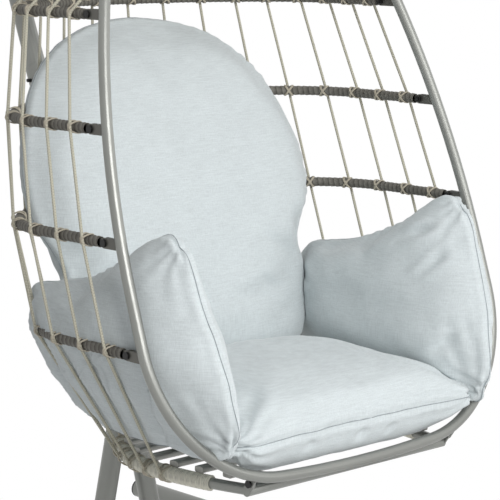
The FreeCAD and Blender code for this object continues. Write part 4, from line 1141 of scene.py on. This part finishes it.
def arm_place(y, z, rise):
    """A place on the arm cushion of the +x side; it is thinner where the back cushion lies beside it."""
    depths = ARM_OUTER_DEPTHS if rise > 0 else ARM_INNER_DEPTHS
    behind = min(max((y - ARM_THIN_FROM) / ARM_THIN_RUN, 0.0), 1.0)
    thinner = 1 - ARM_THIN_SHARE * behind if rise < 0 else 1.0
    return Vector((looked_up(ARM_MIDDLES, z) + rise * thinner * looked_up(depths, z), y, z))


def filled_arm():
    piece = pillow("cushion_arm_right", ARM_OUTLINE, arm_place)
    fill(piece, 0.022, (arm_place(*ARM_TOP, 0.0), arm_place(*ARM_FOOT, 0.0)))
    return piece


def other_side(piece, name):
    """A copy of the piece on the other side of the chair."""
    mesh = piece.data.copy()
    mesh.transform(Matrix.Scale(-1.0, 4, Vector((1, 0, 0))))
    mesh.flip_normals()
    return add_to_scene(name, mesh)


def fold_arm(piece, side):
    """Rumples, sews and gathers an arm cushion; side is 1 at +x and -1 at -x."""
    def place(y, z, rise):
        point = arm_place(y, z, rise)
        return Vector((side * point.x, point.y, point.z))

    rumple(piece, 9.0, 9.0 + side)
    sew(piece, 0.0030)
    gather(piece, place(*ARM_TOP, 0.0), Vector((0, 0.45, -0.9)).normalized(), 0.012, 0.022, 8)
    gather(piece, place(*ARM_FOOT, 0.0), Vector((0, 0.95, 0.3)).normalized(), 0.013, 0.022, 9)
    for start, end, depth, width in ARM_FOLDS:
        crease(piece, place(*start), place(*end), depth, width)


def shaped_arms():
    right = filled_arm()
    left = other_side(right, "cushion_arm_left")
    fold_arm(right, 1)
    fold_arm(left, -1)
    return right, left


def rest_on_slats(piece):
    for vertex in piece.data.vertices:
        vertex.co.z = max(vertex.co.z, SLAT_TOP)


def make_cushions():
    back = shaped_back()
    seat = shaped_seat()
    right, left = shaped_arms()
    touching = ((seat, back), (right, back), (left, back), (right, seat), (left, seat))
    for piece, neighbour in touching:
        keep_clear(piece, neighbour)
    for arm in (right, left):
        press_on_strands(arm)
    for neighbour, piece in touching:
        keep_clear(piece, neighbour)
    rest_on_slats(seat)
    finish_cushion(back, "back_cushion")
    finish_cushion(seat, "seat_cushion")
    finish_cushion(right, "arm_cushion_right")
    finish_cushion(left, "arm_cushion_left")


# ---------------------------------------------------------------- camera, light and floor
CAMERA_LENS = 149.6
CAMERA_PLACE = Vector((-2.8261, -3.2303, 1.4959))
CAMERA_TARGET = Vector((-0.1118, -0.270, 0.8261))
AMBIENT = 0.33              # strength of the sky on the object
FLOOR_REACH = 60.0
FLOOR_DROP = 0.001          # keeps the floor clear of the feet


def make_camera():
    camera = bpy.data.cameras.new("camera")
    camera.lens = CAMERA_LENS
    camera.sensor_width = 36.0
    holder = bpy.data.objects.new("camera", camera)
    bpy.context.scene.collection.objects.link(holder)
    holder.location = CAMERA_PLACE
    holder.rotation_euler = (CAMERA_TARGET - CAMERA_PLACE).to_track_quat("-Z", "Y").to_euler()
    bpy.context.scene.camera = holder


def make_light(name, place, target, size, power):
    lamp = bpy.data.lights.new(name, "AREA")
    lamp.shape = "SQUARE"
    lamp.size = size
    lamp.energy = power
    holder = bpy.data.objects.new(name, lamp)
    bpy.context.scene.collection.objects.link(holder)
    holder.location = place
    holder.rotation_euler = (Vector(target) - Vector(place)).to_track_quat("-Z", "Y").to_euler()
    holder.visible_camera = False


def seen_ray(tree):
    """1 for rays from the camera, a mirror or a glass, else 0."""
    path = tree.nodes.new("ShaderNodeLightPath")
    seen = path.outputs["Is Camera Ray"]
    for kind in ("Is Glossy Ray", "Is Transmission Ray"):
        either = tree.nodes.new("ShaderNodeMath")
        either.operation = "MAXIMUM"
        tree.links.new(seen, either.inputs[0])
        tree.links.new(path.outputs[kind], either.inputs[1])
        seen = either.outputs[0]
    return seen


def shader(tree, kind, colour, strength=None):
    made = tree.nodes.new(kind)
    made.inputs["Color"].default_value = (*colour, 1.0)
    if strength is not None:
        made.inputs["Strength"].default_value = strength
    return made.outputs[0]


def show_seen(tree, unseen, seen, output):
    """One shader for the rays that are seen, and another for the rest."""
    mix = tree.nodes.new("ShaderNodeMixShader")
    tree.links.new(seen_ray(tree), mix.inputs["Fac"])
    tree.links.new(unseen, mix.inputs[1])
    tree.links.new(seen, mix.inputs[2])
    tree.links.new(mix.outputs[0], tree.nodes.new(output).inputs["Surface"])


def make_world():
    world = bpy.data.worlds.new("studio")
    bpy.context.scene.world = world
    world.use_nodes = True
    tree = world.node_tree
    tree.nodes.clear()
    soft = shader(tree, "ShaderNodeBackground", (0.97, 0.99, 1.0), AMBIENT)
    white = shader(tree, "ShaderNodeBackground", (1.0, 1.0, 1.0), 1.0)
    show_seen(tree, soft, white, "ShaderNodeOutputWorld")


def make_floor():
    mesh = bpy.data.meshes.new("floor")
    far, low = FLOOR_REACH, -FLOOR_DROP
    corners = [(-far, -far, low), (far, -far, low), (far, far, low), (-far, far, low)]
    mesh.from_pydata(corners, [], [(0, 1, 2, 3)])
    floor = add_to_scene("floor", mesh)
    material = bpy.data.materials.new("floor_white")
    material.use_nodes = True
    tree = material.node_tree
    tree.nodes.clear()
    matt = shader(tree, "ShaderNodeBsdfDiffuse", (0.8, 0.8, 0.8))
    glow = shader(tree, "ShaderNodeEmission", (1.0, 1.0, 1.0), 1.0)
    show_seen(tree, matt, glow, "ShaderNodeOutputMaterial")
    floor.data.materials.append(material)


def make_studio():
    make_camera()
    make_world()
    make_floor()
    make_light("key", (-1.1, -4.2, 3.0), (0, -0.2, 0.9), 2.0, 130.0)
    make_light("front", (1.2, -4.2, 2.0), (0, -0.2, 0.8), 2.4, 45.0)
    make_light("right", (3.4, -0.6, 2.2), (0, -0.1, 0.9), 2.2, 14.0)
    make_light("top", (0.0, 0.6, 4.2), (0, -0.1, 0.9), 2.6, 26.0)
    bpy.context.scene.view_settings.view_transform = "Standard"


# ---------------------------------------------------------------- the whole scene
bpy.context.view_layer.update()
finish_frame()
make_strands()
make_rail_tapes()
make_lashings()
make_ring_winding()
make_canopy()
make_spring()
make_cushions()
make_studio()
